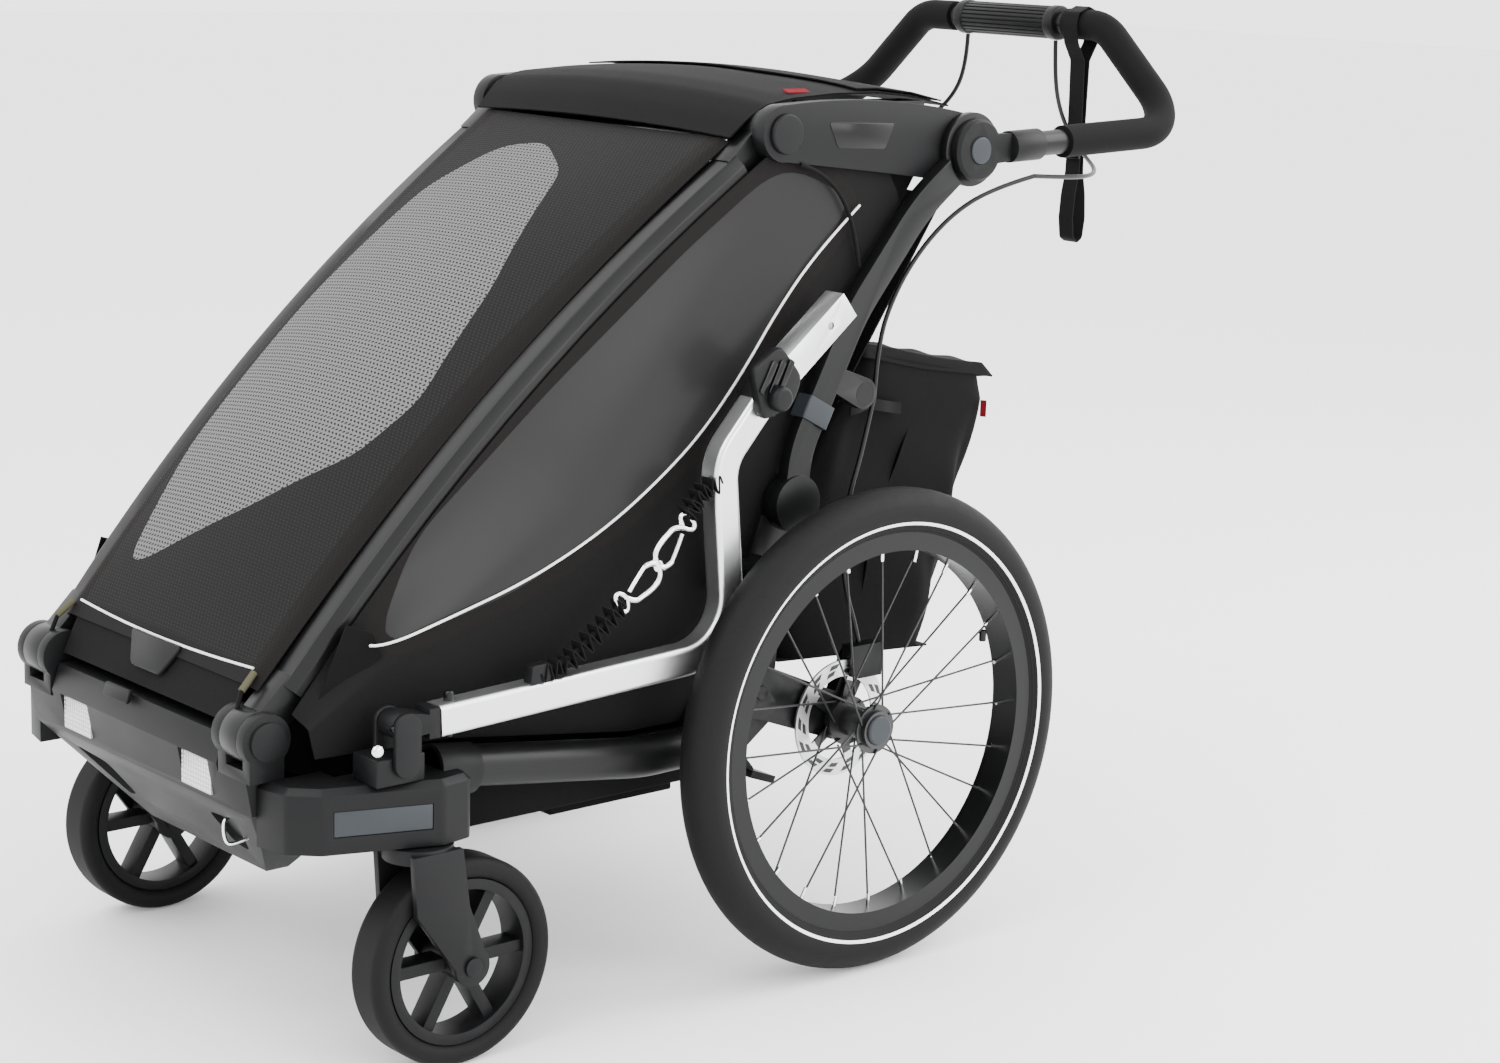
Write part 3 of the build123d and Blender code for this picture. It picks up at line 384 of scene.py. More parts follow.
cloth = woven("woven_black", (0.0034, 0.0033, 0.0034))
webbing = woven("webbing_black", (0.0036, 0.0036, 0.0038), 0.0022, 0.0002, 0.7)
pad_cloth = woven("seat_fabric", (0.006, 0.006, 0.0065), 0.002, 0.001)
red_cloth = woven("red_tag", (0.12, 0.004, 0.01), 0.0012, 0.0)
piping = woven("piping_white", (0.72, 0.72, 0.72), 0.0012, 0.0)
foam = grained("foam_sleeve", (0.0032, 0.0032, 0.0034), 0.74, 0.00035, 700.0,
               Specular_IOR_Level=0.08)
cable_sleeve = grained("cable_sleeve", (0.003, 0.003, 0.0031), 0.34, 0.00001, 500.0,
                       Specular_IOR_Level=0.2)
clear = Finish("reflector_prisms", (0.72, 0.72, 0.71), 0.16, Metallic=0.35)
x, y, z = clear.axes()
prisms = x.wave(0.0045) * z.wave(0.0045)
bars = (x + z * 0.3).wave(0.013) > 0.9
clear.put("Base Color", clear.mix(prisms, (0.4, 0.4, 0.4, 1), (0.9, 0.9, 0.88, 1)))
clear.put("Roughness", prisms * 0.2 + 0.08)
clear.bump(prisms + bars, 0.0012)
prism = clear.material
print("fabrics", cloth.name, webbing.name, pad_cloth.name, "and trim")

# %% [markdown]
# The CAD parts that keep their shape get their finish by what they are made of. The names of the
# record's own material slots say that, so a table from slot to finish is enough.

# %% Finish the CAD parts
SLOT_FINISH = {
    "frame_black": paint, "plastic_black": shell, "plastic_grey": touch, "rim_black": paint,
    "tyre_black": tyre_rubber, "caster_rubber": caster_rubber, "spoke_dark": wire_steel,
    "steel_bright": disc_steel, "arm_silver": silver, "reflector": prism, "foam_black": foam,
    "webbing_black": webbing, "cable_black": cable_sleeve, "fabric_black": cloth,
}
SLOT_OF = {entry["node"]: entry["material_slot"] for entry in frame["record"]["subparts"]}
BODY_OF = {node: body for body, members in frame["record"]["behaviour"]["bodies"].items()
           for node in members}
for name, node in NODES.items():
    node.data.materials.clear()
    node.data.materials.append(SLOT_FINISH[SLOT_OF[name]])
    deselect()
    node.select_set(True)
    bpy.context.view_layer.objects.active = node
    bpy.ops.object.shade_smooth_by_angle(angle=radians(32))
print("finished", len(NODES), "parts")

# %% [markdown]
# Fabric panels begin as a flat grid, as if drawn on the cutting table, and a rule then says where
# each point of the cloth lies on the trailer. The same grid can carry a number at each point, such
# as the distance to a seam, and the material reads that number. A wall is added at the end.

# %% Cloth tools
FOOT_Y, FOOT_Z = -0.654, 0.321      # lower hinge of the front tubes
HEAD_Y, HEAD_Z = -0.083, 0.848      # their upper hinge
TURN = atan2(HEAD_Z - FOOT_Z, HEAD_Y - FOOT_Y)
FRONT_LENGTH = hypot(HEAD_Y - FOOT_Y, HEAD_Z - FOOT_Z)


def on_front(s, out=0.0, x=0.0):
    """A point s metres up the line of the front tubes, and out metres off it."""
    return Vector((x, FOOT_Y + s * cos(TURN) - out * sin(TURN),
                   FOOT_Z + s * sin(TURN) + out * cos(TURN)))


def rounded(outline, reach):
    """Rounds the corners of a flat outline, starting each curve at most reach from the corner."""
    made = []
    neighbours = zip(outline[-1:] + outline[:-1], outline, outline[1:] + outline[:1])
    for before, corner, after in neighbours:
        ends = []
        for other in (before, after):
            step = Vector(other) - Vector(corner)
            ends.append(Vector(corner) + step * min(0.49, reach / step.length))
        for share in (0.0, 0.33, 0.67, 1.0):
            middle = Vector(corner)
            made.append(tuple(ends[0] * (1 - share) ** 2 + middle * 2 * share * (1 - share)
                              + ends[1] * share ** 2))
    return made


def outside(point, outline):
    """The distance of a flat point from an outline: below 0 inside it."""
    px, py = point
    nearest, inside = 9.0, False
    for (ax, ay), (bx, by) in zip(outline, outline[1:] + outline[:1]):
        dx, dy = bx - ax, by - ay
        share = max(0.0, min(1.0, ((px - ax) * dx + (py - ay) * dy) / (dx * dx + dy * dy)))
        nearest = min(nearest, hypot(px - ax - share * dx, py - ay - share * dy))
        if (ay > py) != (by > py) and px < ax + (py - ay) * dx / dy:
            inside = not inside
    return -nearest if inside else nearest


def measure(points):
    return sum((b - a).length for a, b in zip(points, points[1:]))


def along(points, share):
    """The point at a share of the way along a line of points."""
    left = share * measure(points)
    for a, b in zip(points, points[1:]):
        step = (b - a).length
        if left <= step:
            return a + (b - a) * (left / step if step else 0)
        left -= step
    return points[-1].copy()


def smooth(piece, angle=40):
    deselect()
    piece.select_set(True)
    bpy.context.view_layer.objects.active = piece
    bpy.ops.object.shade_smooth_by_angle(angle=radians(angle))


def apply(piece, kind, **settings):
    """Adds a modifier and applies it at once."""
    bpy.context.view_layer.objects.active = piece
    modifier = piece.modifiers.new(kind.lower(), kind)
    for key, value in settings.items():
        setattr(modifier, key, value)
    bpy.ops.object.modifier_apply(modifier=modifier.name)


def cloth_panel(name, across, length, at, finish, body, wall=0.0012, marks=None):
    """A cloth grid laid where at(u, v) says. marks names a number for each point of the grid."""
    deselect()
    bpy.ops.mesh.primitive_grid_add(x_subdivisions=across, y_subdivisions=length, size=1)
    piece = active(name)
    flat = [(v.co.x + 0.5, v.co.y + 0.5) for v in piece.data.vertices]
    for mark, rule in (marks or {}).items():
        values = piece.data.attributes.new(mark, "FLOAT", "POINT").data
        for value, (u, v) in zip(values, flat):
            value.value = rule(u, v)
    for vertex, (u, v) in zip(piece.data.vertices, flat):
        vertex.co = at(u, v)
    piece.data.materials.append(finish)
    apply(piece, "SOLIDIFY", thickness=wall, offset=0.0)
    smooth(piece, 50)
    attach(piece, body)
    return piece


def line_piece(name, route, radius, finish, body, order=3, cord=False):
    """A round line, such as a piping or a cable, along a smooth curve near its route."""
    curve = bpy.data.curves.new(name, "CURVE")
    curve.dimensions, curve.bevel_depth, curve.bevel_resolution = "3D", radius, 2
    curve.resolution_u, curve.use_fill_caps = 6, True
    spline = curve.splines.new("NURBS")
    spline.points.add(len(route) - 1)
    for knot, place in zip(spline.points, route):
        knot.co = (*place, 1)
    spline.order_u = order
    spline.use_endpoint_u = True
    piece = bpy.data.objects.new(name, curve)
    bpy.context.scene.collection.objects.link(piece)
    curve.materials.append(finish)
    if not cord:
        deselect()
        piece.select_set(True)
        bpy.context.view_layer.objects.active = piece
        bpy.ops.object.convert(target="MESH")
        piece = bpy.context.object
        smooth(piece, 60)
    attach(piece, body)
    return piece


def profile(*places):
    """Points on the trailer's middle plane, from their y and z in millimetres."""
    return [Vector((0, y / 1000, z / 1000)) for y, z in places]


def flat_area(piece, digits=4):
    """The area of one face of a walled sheet, in square metres."""
    return round(sum(face.area for face in piece.data.polygons) / 2, digits)


PIPING_R = 0.0013       # radius of the sewn-in piping
print("front tube line", round(FRONT_LENGTH, 3), "m long")

# %% [markdown]
# The front cover is stretched over the two front tubes. Its dark cloth has a fine rib. In the
# middle is a window of pale knitted mesh that a child can look out through: its threads are light,
# and its holes are painted dark for the cabin seen through them, partly its black cloth and partly
# painted shade. Bands at both sides hide the zips, and below the white piping the cloth is plain.
# One material shows them all, by the distance to the window and to the edges.

# %% Front cover cloth
COVER_S = (0.034, 0.742)
WINDOW = rounded([(x * 0.0009, s / 1000) for x, s in (
    (-136, 103), (-179, 241), (-186, 431), (-165, 609), (-107, 684), (-40, 698), (44, 655),
    (119, 488), (149, 347), (122, 274), (22, 191), (-107, 108))], 0.022)


def half_width(s):
    return 0.177 + 0.026 * (s - 0.02) / 0.76


def lift(x, s):
    """How far the cover stands off the line of the tubes."""
    share = (s - COVER_S[0]) / (COVER_S[1] - COVER_S[0])
    arc = 0.0228 + 0.0231 * (1 - (2 * share - 1) ** 2)
    crown = 0.024 * max(0.0, sin(pi * min(1, max(0, share)))) ** 0.8
    tuck = 0.0042 * max(0.0, 1 - (half_width(s) - abs(x)) / 0.010)
    return arc - tuck + crown * max(0.0, 1 - (x / half_width(s)) ** 2)


cover_cloth = Finish("front_cover_cloth", (0.007, 0.007, 0.007), 0.8, Sheen_Weight=0.01,
                     Specular_IOR_Level=0.08)
x, y, z = cover_cloth.axes()
s_line = (y - FOOT_Y) * cos(TURN) + (z - FOOT_Z) * sin(TURN)
window, margin = cover_cloth.attribute("window"), cover_cloth.attribute("margin")
in_window = window < 0.0
plain = (s_line < 0.052)
band = (margin < 0.024)
rib = s_line.wave(0.0034) * (x + s_line * 0.5).wave(0.0052)
knit_row = s_line.wave(0.0046)
zigzag = (x + (s_line.wave(0.0092) - 0.5) * 0.0030).wave(0.0056)
hole = (knit_row * zigzag) > 0.44
fibres, folds = cover_cloth.noise(900.0, 2.0), cover_cloth.noise(6.0, 3.0)
dark = cover_cloth.mix(fibres * 0.5 + folds * 0.5, (0.0042, 0.0041, 0.0041, 1),
                       (0.0075, 0.0073, 0.0073, 1))
ribbed = cover_cloth.mix(rib * (1.0 - plain), dark, (0.0125, 0.0125, 0.0125, 1))
banded = cover_cloth.mix(band, ribbed, (0.0056, 0.0047, 0.0045, 1))
knit = cover_cloth.mix(fibres, (0.085, 0.085, 0.085, 1), (0.14, 0.14, 0.14, 1))
# painted shade: the knit's holes are painted dark for the black cabin in shade behind them
knit = cover_cloth.mix(hole, knit, (0.012, 0.012, 0.012, 1))
cover_cloth.put("Base Color", cover_cloth.mix(in_window, banded, knit))
cover_cloth.put("Roughness", fibres * 0.15 + 0.7)
seam = (abs(margin - 0.024) < 0.0012) + (abs(window - 0.0015) < 0.001)
cover_cloth.bump(rib * (1.0 - plain) * 0.35 - seam * 0.9 + folds * 1.4
                 - in_window * hole * 0.6, 0.001)


def cover_spot(u, v):
    s = COVER_S[0] + v * (COVER_S[1] - COVER_S[0])
    return (2 * u - 1) * half_width(s), s


def on_cover(x, s, proud=0.0):
    return on_front(s, lift(x, s) + proud, x)


cover = cloth_panel(
    "cover_cloth", 90, 120, lambda u, v: on_cover(*cover_spot(u, v)), cover_cloth.material,
    "front_frame", 0.002, {"window": lambda u, v: outside(cover_spot(u, v), WINDOW),
                           "margin": lambda u, v: (1 - abs(2 * u - 1)) * 0.185})
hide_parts("front_cover")
arc = measure([on_cover(0, COVER_S[0] + n * 0.0177) for n in range(41)])
print("cover arc", round(arc, 3), "m")

# %% [markdown]
# Below the cover a hem drops behind the shield's upper lip. A blank badge in the black moulded
# finish is riveted over it, and a white piping shows where cover and hem are sewn together. The
# cover's two zips end at the lower corners, each with an olive tab and a black pull.

# %% Hem, piping, badge and zip pulls
hem = cloth_panel("cover_hem", 40, 10,
                  lambda u, v: on_front(0.0 + v * 0.046, 0.006 + 0.019 * v, (2 * u - 1) * 0.155),
                  cloth, "front_frame", 0.002)
sewn_edge = [on_cover(x / 1000, 0.050 - 0.006 * (1 - (x / 160) ** 2), 0.0015)
             for x in range(-160, 161, 40)]
line_piece("cover_piping", sewn_edge, PIPING_R, piping, "front_frame")


def flat_plate(name, corners, at, depth, bevel, finish, body):
    """A thin plate over an outline: at(a, b, height) gives a place for each outline point."""
    deselect()
    bpy.ops.mesh.primitive_circle_add(vertices=len(corners), radius=1, fill_type="NGON")
    piece = active(name)
    for vertex, (a, b) in zip(piece.data.vertices, corners):
        vertex.co = at(a, b, 0.0)
    middle = Vector(at(*[sum(axis) / len(corners) for axis in zip(*corners)], 0.0))
    rise = Vector(at(*corners[0], depth)) - Vector(at(*corners[0], 0.0))
    bpy.ops.object.mode_set(mode="EDIT")
    bpy.ops.mesh.select_all(action="SELECT")
    bpy.ops.mesh.extrude_region_move(TRANSFORM_OT_translate={"value": tuple(rise)})
    bpy.ops.mesh.select_all(action="SELECT")
    bpy.ops.mesh.normals_make_consistent(inside=False)
    bpy.ops.object.mode_set(mode="OBJECT")
    apply(piece, "BEVEL", width=bevel, segments=2, limit_method="ANGLE", angle_limit=radians(40))
    piece.data.materials.append(finish)
    smooth(piece, 35)
    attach(piece, body)
    return piece


badge = rounded([(-0.046, 0.042), (0.046, 0.042), (0.026, 0.012), (-0.026, 0.012)], 0.006)
flat_plate("front_badge", badge, lambda a, b, h: on_front(b, 0.0095 + 0.41 * b + h, a),
           0.004, 0.0008, shell, "front_frame")
olive = woven("zip_olive", (0.06, 0.058, 0.035), 0.0015, 0.0)
for side, sign in SIDES.items():
    top = on_cover(sign * 0.168, 0.046, 0.004)
    tab = top + Vector((sign * 0.004, -0.016, -0.014))
    tip = tab + Vector((sign * 0.004, -0.012, -0.03))
    line_piece(f"zip_tab_{side}", [top, (top + tab) / 2, tab], 0.0034, olive, "front_frame")
    line_piece(f"zip_pull_{side}", [tab, tab + Vector((sign * 0.002, -0.006, -0.016)), tip],
               0.0022, webbing, "front_frame")
print("cover trim done")

# %% [markdown]
# Each side is one large panel that runs from the front tube back to the upright and down to the
# base tube. Most of it is a smoked film window, set in dark cloth with a bound edge. The film is
# so dark that its gloss is what shows, while the cloth round it is matt. The panel is ruled between
# its front edge and its rear edge, so its points follow its shape, and it bellies out slightly.

# %% Side panels
TUBE_BOW = 0.025                    # how far the front tube bows outwards
TUBE_MID, TUBE_HALF = 0.3885, 0.3365    # middle and half length of its bow, along its line
PANEL_X = 0.2312                    # the panel's plane, behind the tube


def tube_edge(s):
    """A place along the outer face of the bowed front tube, s metres up its line."""
    bow = TUBE_BOW * (1 - ((s - TUBE_MID) / TUBE_HALF) ** 2)
    return on_front(s, bow - 0.002)


FRONT_EDGE = [tube_edge(0.035 + 0.0565 * n) for n in range(13)] + profile((-84, 836))
REAR_EDGE = profile(
    (-616, 303), (-470, 299), (-255, 270.5), (-150, 271), (-106, 282), (-88, 306), (-84, 380),
    (-80, 450), (-58, 545), (2, 655), (72, 742), (82, 780), (60, 815), (0, 836))
FILM = rounded([(y / 1000, z / 1000) for y, z in (
    (-545, 395), (-394, 432), (-277, 485), (-179, 554), (-80, 675), (6, 765), (4, 786),
    (-60, 812), (-99, 806), (-198, 738), (-352, 616), (-497, 490))], 0.03)

side_cloth = Finish("side_panel_cloth", (0.007, 0.007, 0.007), 0.8, Specular_IOR_Level=0.1)
window = side_cloth.attribute("window")
x, y, z = side_cloth.axes()
in_film = window < 0.0
bound = (window > 0.0) * (window < 0.017)
fibres, folds = side_cloth.noise(900.0, 2.0), side_cloth.noise(7.0, 3.0)
weave = (y + z).wave(0.0016) * (y - z).wave(0.0016)
dark = side_cloth.mix(fibres * 0.5 + folds * 0.5, (0.0028, 0.0027, 0.0028, 1),
                      (0.0052, 0.0050, 0.0050, 1))
dark = side_cloth.mix(bound, dark, (0.0050, 0.0042, 0.004, 1))
glass = side_cloth.mix(side_cloth.noise(3.0), (0.0145, 0.0145, 0.0147, 1),
                       (0.0165, 0.0165, 0.0168, 1))
side_cloth.put("Base Color", side_cloth.mix(in_film, dark, glass))
side_cloth.put("Roughness", in_film * -0.42 + fibres * (1.0 - in_film) * 0.12 + 0.7)
stitches = (abs(window - 0.0145) < 0.0007) * ((y + z).wave(0.005) > 0.3)
edge_step = (abs(window) < 0.001) + (abs(window - 0.017) < 0.001)
side_cloth.bump((1.0 - in_film) * weave * 0.14 + folds * (0.4 + (1.0 - in_film) * 1.2)
                - edge_step * 0.6 - stitches * 0.5, 0.001)


def on_side(sign, u, v):
    front, rear = along(FRONT_EDGE, v), along(REAR_EDGE, v)
    spot = front + (rear - front) * u
    belly = 0.0
    if 0 < u < 1 and 0 < v < 1:
        belly = 0.006 * sin(pi * u) ** 0.7 * sin(pi * min(1, v * 1.02)) ** 0.7
    tube = 0.2078 + 0.0251 * v      # the tube's outer face, wider apart at the top
    share = min(1.0, u / 0.3)
    spot.x = sign * (tube + (PANEL_X - tube) * share * share * (3 - 2 * share) + belly)
    return spot


def film_distance(u, v):
    spot = on_side(1, u, v)
    return outside((spot.y, spot.z), FILM)


panels = {}
for side, sign in SIDES.items():
    panels[side] = cloth_panel(f"side_cloth_{side}", 60, 120,
                               lambda u, v, sign=sign: on_side(sign, u, v), side_cloth.material,
                               "frame", 0.002, {"window": film_distance})
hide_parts("side_panels")
print("side panel area", flat_area(panels["left"], 3), "m2")

# %% [markdown]
# A thin white piping follows the window's lower and rear edge on each side, where the film is sewn
# to the lower cloth. A small gusset of doubled cloth fills the corner by the front tube, a liner
# closes the gap under the top link, and a black elastic loops from the link down the rear of the
# window.

# %% Side piping, gusset, liner and elastic
PIPING_LINE = [(-562, 402), (-545, 398), (-470, 417), (-394, 437), (-330, 462), (-277, 489),
               (-225, 523), (-179, 559), (-130, 612), (-80, 680), (-30, 733), (22, 774)]
ELASTIC_LINE = [(-62, 818), (-40, 812), (-8, 790), (14, 752), (22, 712)]
CORNER_CLOTHS = (
    ("gusset", ((0.219, -0.606, 0.350), (0.2325, -0.545, 0.388), (0.2235, -0.578, 0.420),
                (0.2335, -0.556, 0.412)), (12, 16), (0.06, 0.086)),
    ("liner", ((0.2185, -0.17, 0.735), (0.2185, 0.050, 0.700), (0.2185, -0.085, 0.868),
               (0.2185, 0.150, 0.853)), (20, 20), (0.235, 0.16)))


def side_place(sign, y, z, proud):
    """A place on the side panel by its y and z in millimetres, proud of its outer face."""
    return Vector((sign * (PANEL_X + 0.0062 + proud), y / 1000, z / 1000))


def between(corners, u, v):
    """A place on a panel ruled between its four corners: two at the bottom, two at the top."""
    return Vector([a + (b - a) * u + (c + (d - c) * u - a - (b - a) * u) * v
                   for a, b, c, d in zip(*corners)])


for side, sign in SIDES.items():
    edge = line_piece(f"side_piping_{side}",
                      [side_place(sign, y, z, 0.0008) for y, z in PIPING_LINE],
                      PIPING_R, piping, "frame")
    loop = line_piece(f"side_elastic_{side}",
                      [side_place(sign, y, z, 0.003) for y, z in ELASTIC_LINE],
                      0.0022, webbing, "frame")
    trim = [edge, loop]
    for label, corners, cuts, flat in CORNER_CLOTHS:
        corners = [(sign * x, y, z) for x, y, z in corners]
        patch = cloth_panel(f"side_{label}_{side}", *cuts,
                            lambda u, v, corners=corners: between(corners, u, v), cloth,
                            "frame", 0.0016)
        trim.append(patch)
    for piece in (*trim, panels[side]):
        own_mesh(piece)
print("side trim done")

# %% [markdown]
# The roof cloth is sewn to the top of the cover. It rolls over the front cross bar, runs back
# between the two top links, and is crowned a little between them. A sun shade lies on its rear half
# as a second layer with a wavy front edge, and a red tag sticks out beside the left link. The rear
# cloth closes the cabin between the uprights.

# %% Roof
ROOF_LINE = profile((-127, 843), (-108, 861), (-88, 874), (-60, 880), (0, 884), (60, 884),
                    (110, 879), (158, 869))


def on_roof(u, v, lift_by=0.0):
    spot = along(ROOF_LINE, v)
    spot.x = (2 * u - 1) * (0.2205 - 0.012 * (1 - min(1, v / 0.25)))
    spot.z += 0.012 * (1 - (2 * u - 1) ** 2) * sin(pi * min(1, 0.15 + v * 0.8)) + lift_by
    return spot


roof = cloth_panel("roof_cloth", 48, 40, on_roof, cloth, "top_link", 0.0018)
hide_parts("roof_panel")
roof_arc = measure(ROOF_LINE)


def on_shade(u, v):
    wavy = 0.02 * sin(u * 12) * (1 - v)
    return on_roof(u * 0.98 + 0.01, 0.56 + 0.42 * v - wavy, 0.0036)


shade_cloth = cloth_panel("sun_shade", 60, 20, on_shade, cloth, "top_link", 0.0014)
tag = cloth_panel("red_tag", 8, 4, lambda u, v: Vector((
    0.196 + 0.009 * v, -0.050 + 0.030 * u, 0.8875 - 0.003 * v)), red_cloth, "top_link", 0.0012)


def on_rear(u, v):
    """The rear cloth lies behind the line of the uprights and bellies out."""
    up_line = 0.3 + 0.6 * v
    spot = Vector(((2 * u - 1) * 0.2115, -0.066 + up_line * 0.233, 0.481 + up_line * 0.345))
    return spot + Vector((0, 0.8288, -0.5597)) * (0.0275 + 0.006 * sin(pi * u) * sin(pi * v))


rear_sheet = cloth_panel("rear_cloth", 40, 40, on_rear, cloth, "uprights", 0.0018)
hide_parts("rear_panel")
print("roof arc", round(roof_arc, 3), "m")

# %% [markdown]
# The brake cables are 5 mm sleeved cables. Each leaves the twist grip, hangs to a clip under the
# handle, and then runs down the upright to the swing arm. The handle and the frame both fold, so
# each cable is three lengths that meet at its clips, each riding on the body that holds it.

# %% Brake cables
ROUTE = [(70, 474, 925.2), (71, 474, 893), (82, 470, 856), (112, 458, 824), (155, 440, 803),
         (198, 412, 793), (232, 368, 790), (248, 312, 792), (254, 256, 796), (253, 200, 786),
         (250, 146, 764), (249, 100, 728), (248, 66, 684), (247, 46, 634), (247, 44, 580),
         (248, 30, 526), (250, 10, 476), (252, 2, 424), (255, 9, 376), (258, 19, 347),
         (259, 24, 326.4)]
LENGTHS = (("handle", 0, 9, "handle"), ("upright", 8, 15, "uprights"), ("low", 14, 21, "frame"))


def spline_length(curve_piece):
    """The length of a cord's own line, without its thickness."""
    bare = curve_piece.data.copy()
    bare.bevel_depth = 0
    stand_in = bpy.data.objects.new("measured", bare)
    bpy.context.scene.collection.objects.link(stand_in)
    bpy.context.view_layer.update()
    points = [v.co.copy() for v in bpy.data.meshes.new_from_object(stand_in).vertices]
    bpy.data.objects.remove(stand_in)
    return round(measure(points), 3)


for side, sign in SIDES.items():
    for label, first, last, body in LENGTHS:
        part_route = [(sign * x / 1000, y / 1000, z / 1000) for x, y, z in ROUTE[first:last]]
        cable = line_piece(f"cable_{label}_{side}", part_route, 0.0025, cable_sleeve, body,
                           cord=True)
        long = spline_length(cable)
        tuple(part_route[0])
        if label == "handle" and side == "left":
            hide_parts("brake_cables")
        print(cable.name, long, "m")

# %% [markdown]
# A moulded or welded part never has knife edges. Each such part starts as a copy of its model
# mesh, whose loose triangles are merged into whole faces, and its sharp edges are then rounded
# with a small bevel that catches the light. The finished copy takes the plain part's place.

# %% Rounded copies of the hard parts
def whole_copy(name):
    """A merged copy of a CAD part's mesh, with its flat faces whole."""
    node = NODES[name]
    piece = bpy.data.objects.new(name + "_finished", node.data.copy())
    piece.data.transform(node.matrix_world)
    bpy.context.scene.collection.objects.link(piece)
    deselect()
    piece.select_set(True)
    bpy.context.view_layer.objects.active = piece
    bpy.ops.object.mode_set(mode="EDIT")
    bpy.ops.mesh.select_all(action="SELECT")
    bpy.ops.mesh.remove_doubles(threshold=0.00002)
    bpy.ops.mesh.dissolve_limited(angle_limit=radians(0.6))
    bpy.ops.object.mode_set(mode="OBJECT")
    return piece


def hollowed(piece, cutter):
    """Cuts one piece's shape out of another, and removes the cutter."""
    apply(piece, "BOOLEAN", operation="DIFFERENCE", object=cutter, solver="EXACT")
    bpy.data.objects.remove(cutter)


def rounded_part(name, width, finish=None, cutters=(), segments=2):
    piece = whole_copy(name)
    for cutter in cutters:
        hollowed(piece, cutter)
    apply(piece, "BEVEL", width=width, segments=segments, limit_method="ANGLE",
          angle_limit=radians(38), harden_normals=False)
    piece.data.materials.clear()
    piece.data.materials.append(finish or SLOT_FINISH[SLOT_OF[name]])
    for face in piece.data.polygons:
        face.material_index = 0
    smooth(piece, 32)
    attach(piece, BODY_OF[name])
    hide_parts(name)
    return piece


def pocket_cutter(corners, at, depth):
    """A closed cutter over an outline, from its face to depth below it."""
    piece = flat_plate("pocket", corners, at, depth, 0.0004, shell, "frame")
    del piece["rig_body"]
    return piece


ROUNDING = {
    "caster_wing": 0.003, "caster_fork": 0.0022, "top_link": 0.0028, "upright": 0.0022,
    "swing_arm": 0.0018, "latch_collar": 0.0018, "caster_release": 0.0012, "hub_button": 0.0012,
    "axle_button": 0.0014, "caster_rim": 0.0012, "front_tube": 0.0018,
}
LONE = {"rear_frame_brackets": 0.0016, "handle_hubs": 0.0022, "hitch_receiver": 0.0015,
        "hitch_arm_ends": 0.0014, "hitch_tip": 0.0012, "front_pivot_hubs": 0.0022,
        "brake_pedal": 0.0014, "front_top_bar": 0.001, "floor_tray": 0.004}
for stem, width in ROUNDING.items():
    for side in SIDES:
        rounded_part(f"{stem}_{side}", width)
for name, width in LONE.items():
    rounded_part(name, width)
print("rounded", 2 * len(ROUNDING) + len(LONE), "parts")

# %% [markdown]
# The front shield is one thick moulding with a sloping belly. Two pockets are pressed into the
# belly, and a small catch sits under the upper lip. The pockets are cut from the copy before its
# edges are rounded, so that their rims get the same soft edge. A chrome pull ring hangs on the left
# of the belly.

# %% Front shield
SLOPE = Vector((0, 0.074, -0.090)).normalized()


def on_belly(a, b, height):
    """A place on the shield's sloping face: a across, b down the slope, height off it."""
    return Vector((a, -0.664, 0.248)) + SLOPE * b + Vector((0, -0.7725, -0.6351)) * height


pockets = []
for sign in (1, -1):
    corners = rounded([(sign * 0.150, 0.022), (sign * 0.096, 0.030), (sign * 0.092, 0.078),
                       (sign * 0.112, 0.084)], 0.008)
    pockets.append(pocket_cutter(corners, lambda a, b, h: on_belly(a, b, 0.004 - h), 0.010))
shield = rounded_part("front_shield", 0.0035, shell, pockets, 3)
ring_route = [Vector((0.1337 + dx, -0.640 + dy, 0.2172 + dz)) for dx, dy, dz in (
    (-0.004, 0.012, 0.010), (-0.004, -0.004, 0.012), (-0.003, -0.011, 0.006),
    (0.001, -0.011, -0.012), (0.004, -0.004, -0.014), (0.005, 0.012, -0.010))]
line_piece("pull_ring", ring_route, 0.0018, chrome, "frame")
LIP_TOP = 0.322
catch = rounded([(-0.05, 0.309), (-0.004, 0.309), (-0.004, LIP_TOP), (-0.05, LIP_TOP)], 0.003)
flat_plate("lip_catch", catch,
           lambda a, b, h: Vector((a, -0.6665 - h - (LIP_TOP - b) * 0.3, b)), 0.004, 0.0008,
           shell, "frame")
print("shield has", len(shield.data.polygons), "faces")

# %% [markdown]
# The side badge is a raised plate on each top link, left blank. Screws hold the tow arm's end
# fittings, and a chrome ball locks its folding tip. They are small, so each is a short turned
# cylinder whose rim is bevelled, and one function makes them all.

# %% Badges, screws and studs
def stud(name, place, radius, length, finish, body, axis="X", dome=0.3):
    """A round stud with a bevelled rim, standing on a place."""
    deselect()
    turn = {"X": (0, pi / 2, 0), "Y": (pi / 2, 0, 0), "Z": (0, 0, 0)}[axis]
    bpy.ops.mesh.primitive_cylinder_add(vertices=28, radius=radius, depth=length, location=place,
                                        rotation=turn)
    piece = active(name)
    apply(piece, "BEVEL", width=min(radius, length) * dome, segments=4, limit_method="ANGLE",
          angle_limit=radians(40))
    piece.data.materials.append(finish)
    smooth(piece, 40)
    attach(piece, body)
    return piece


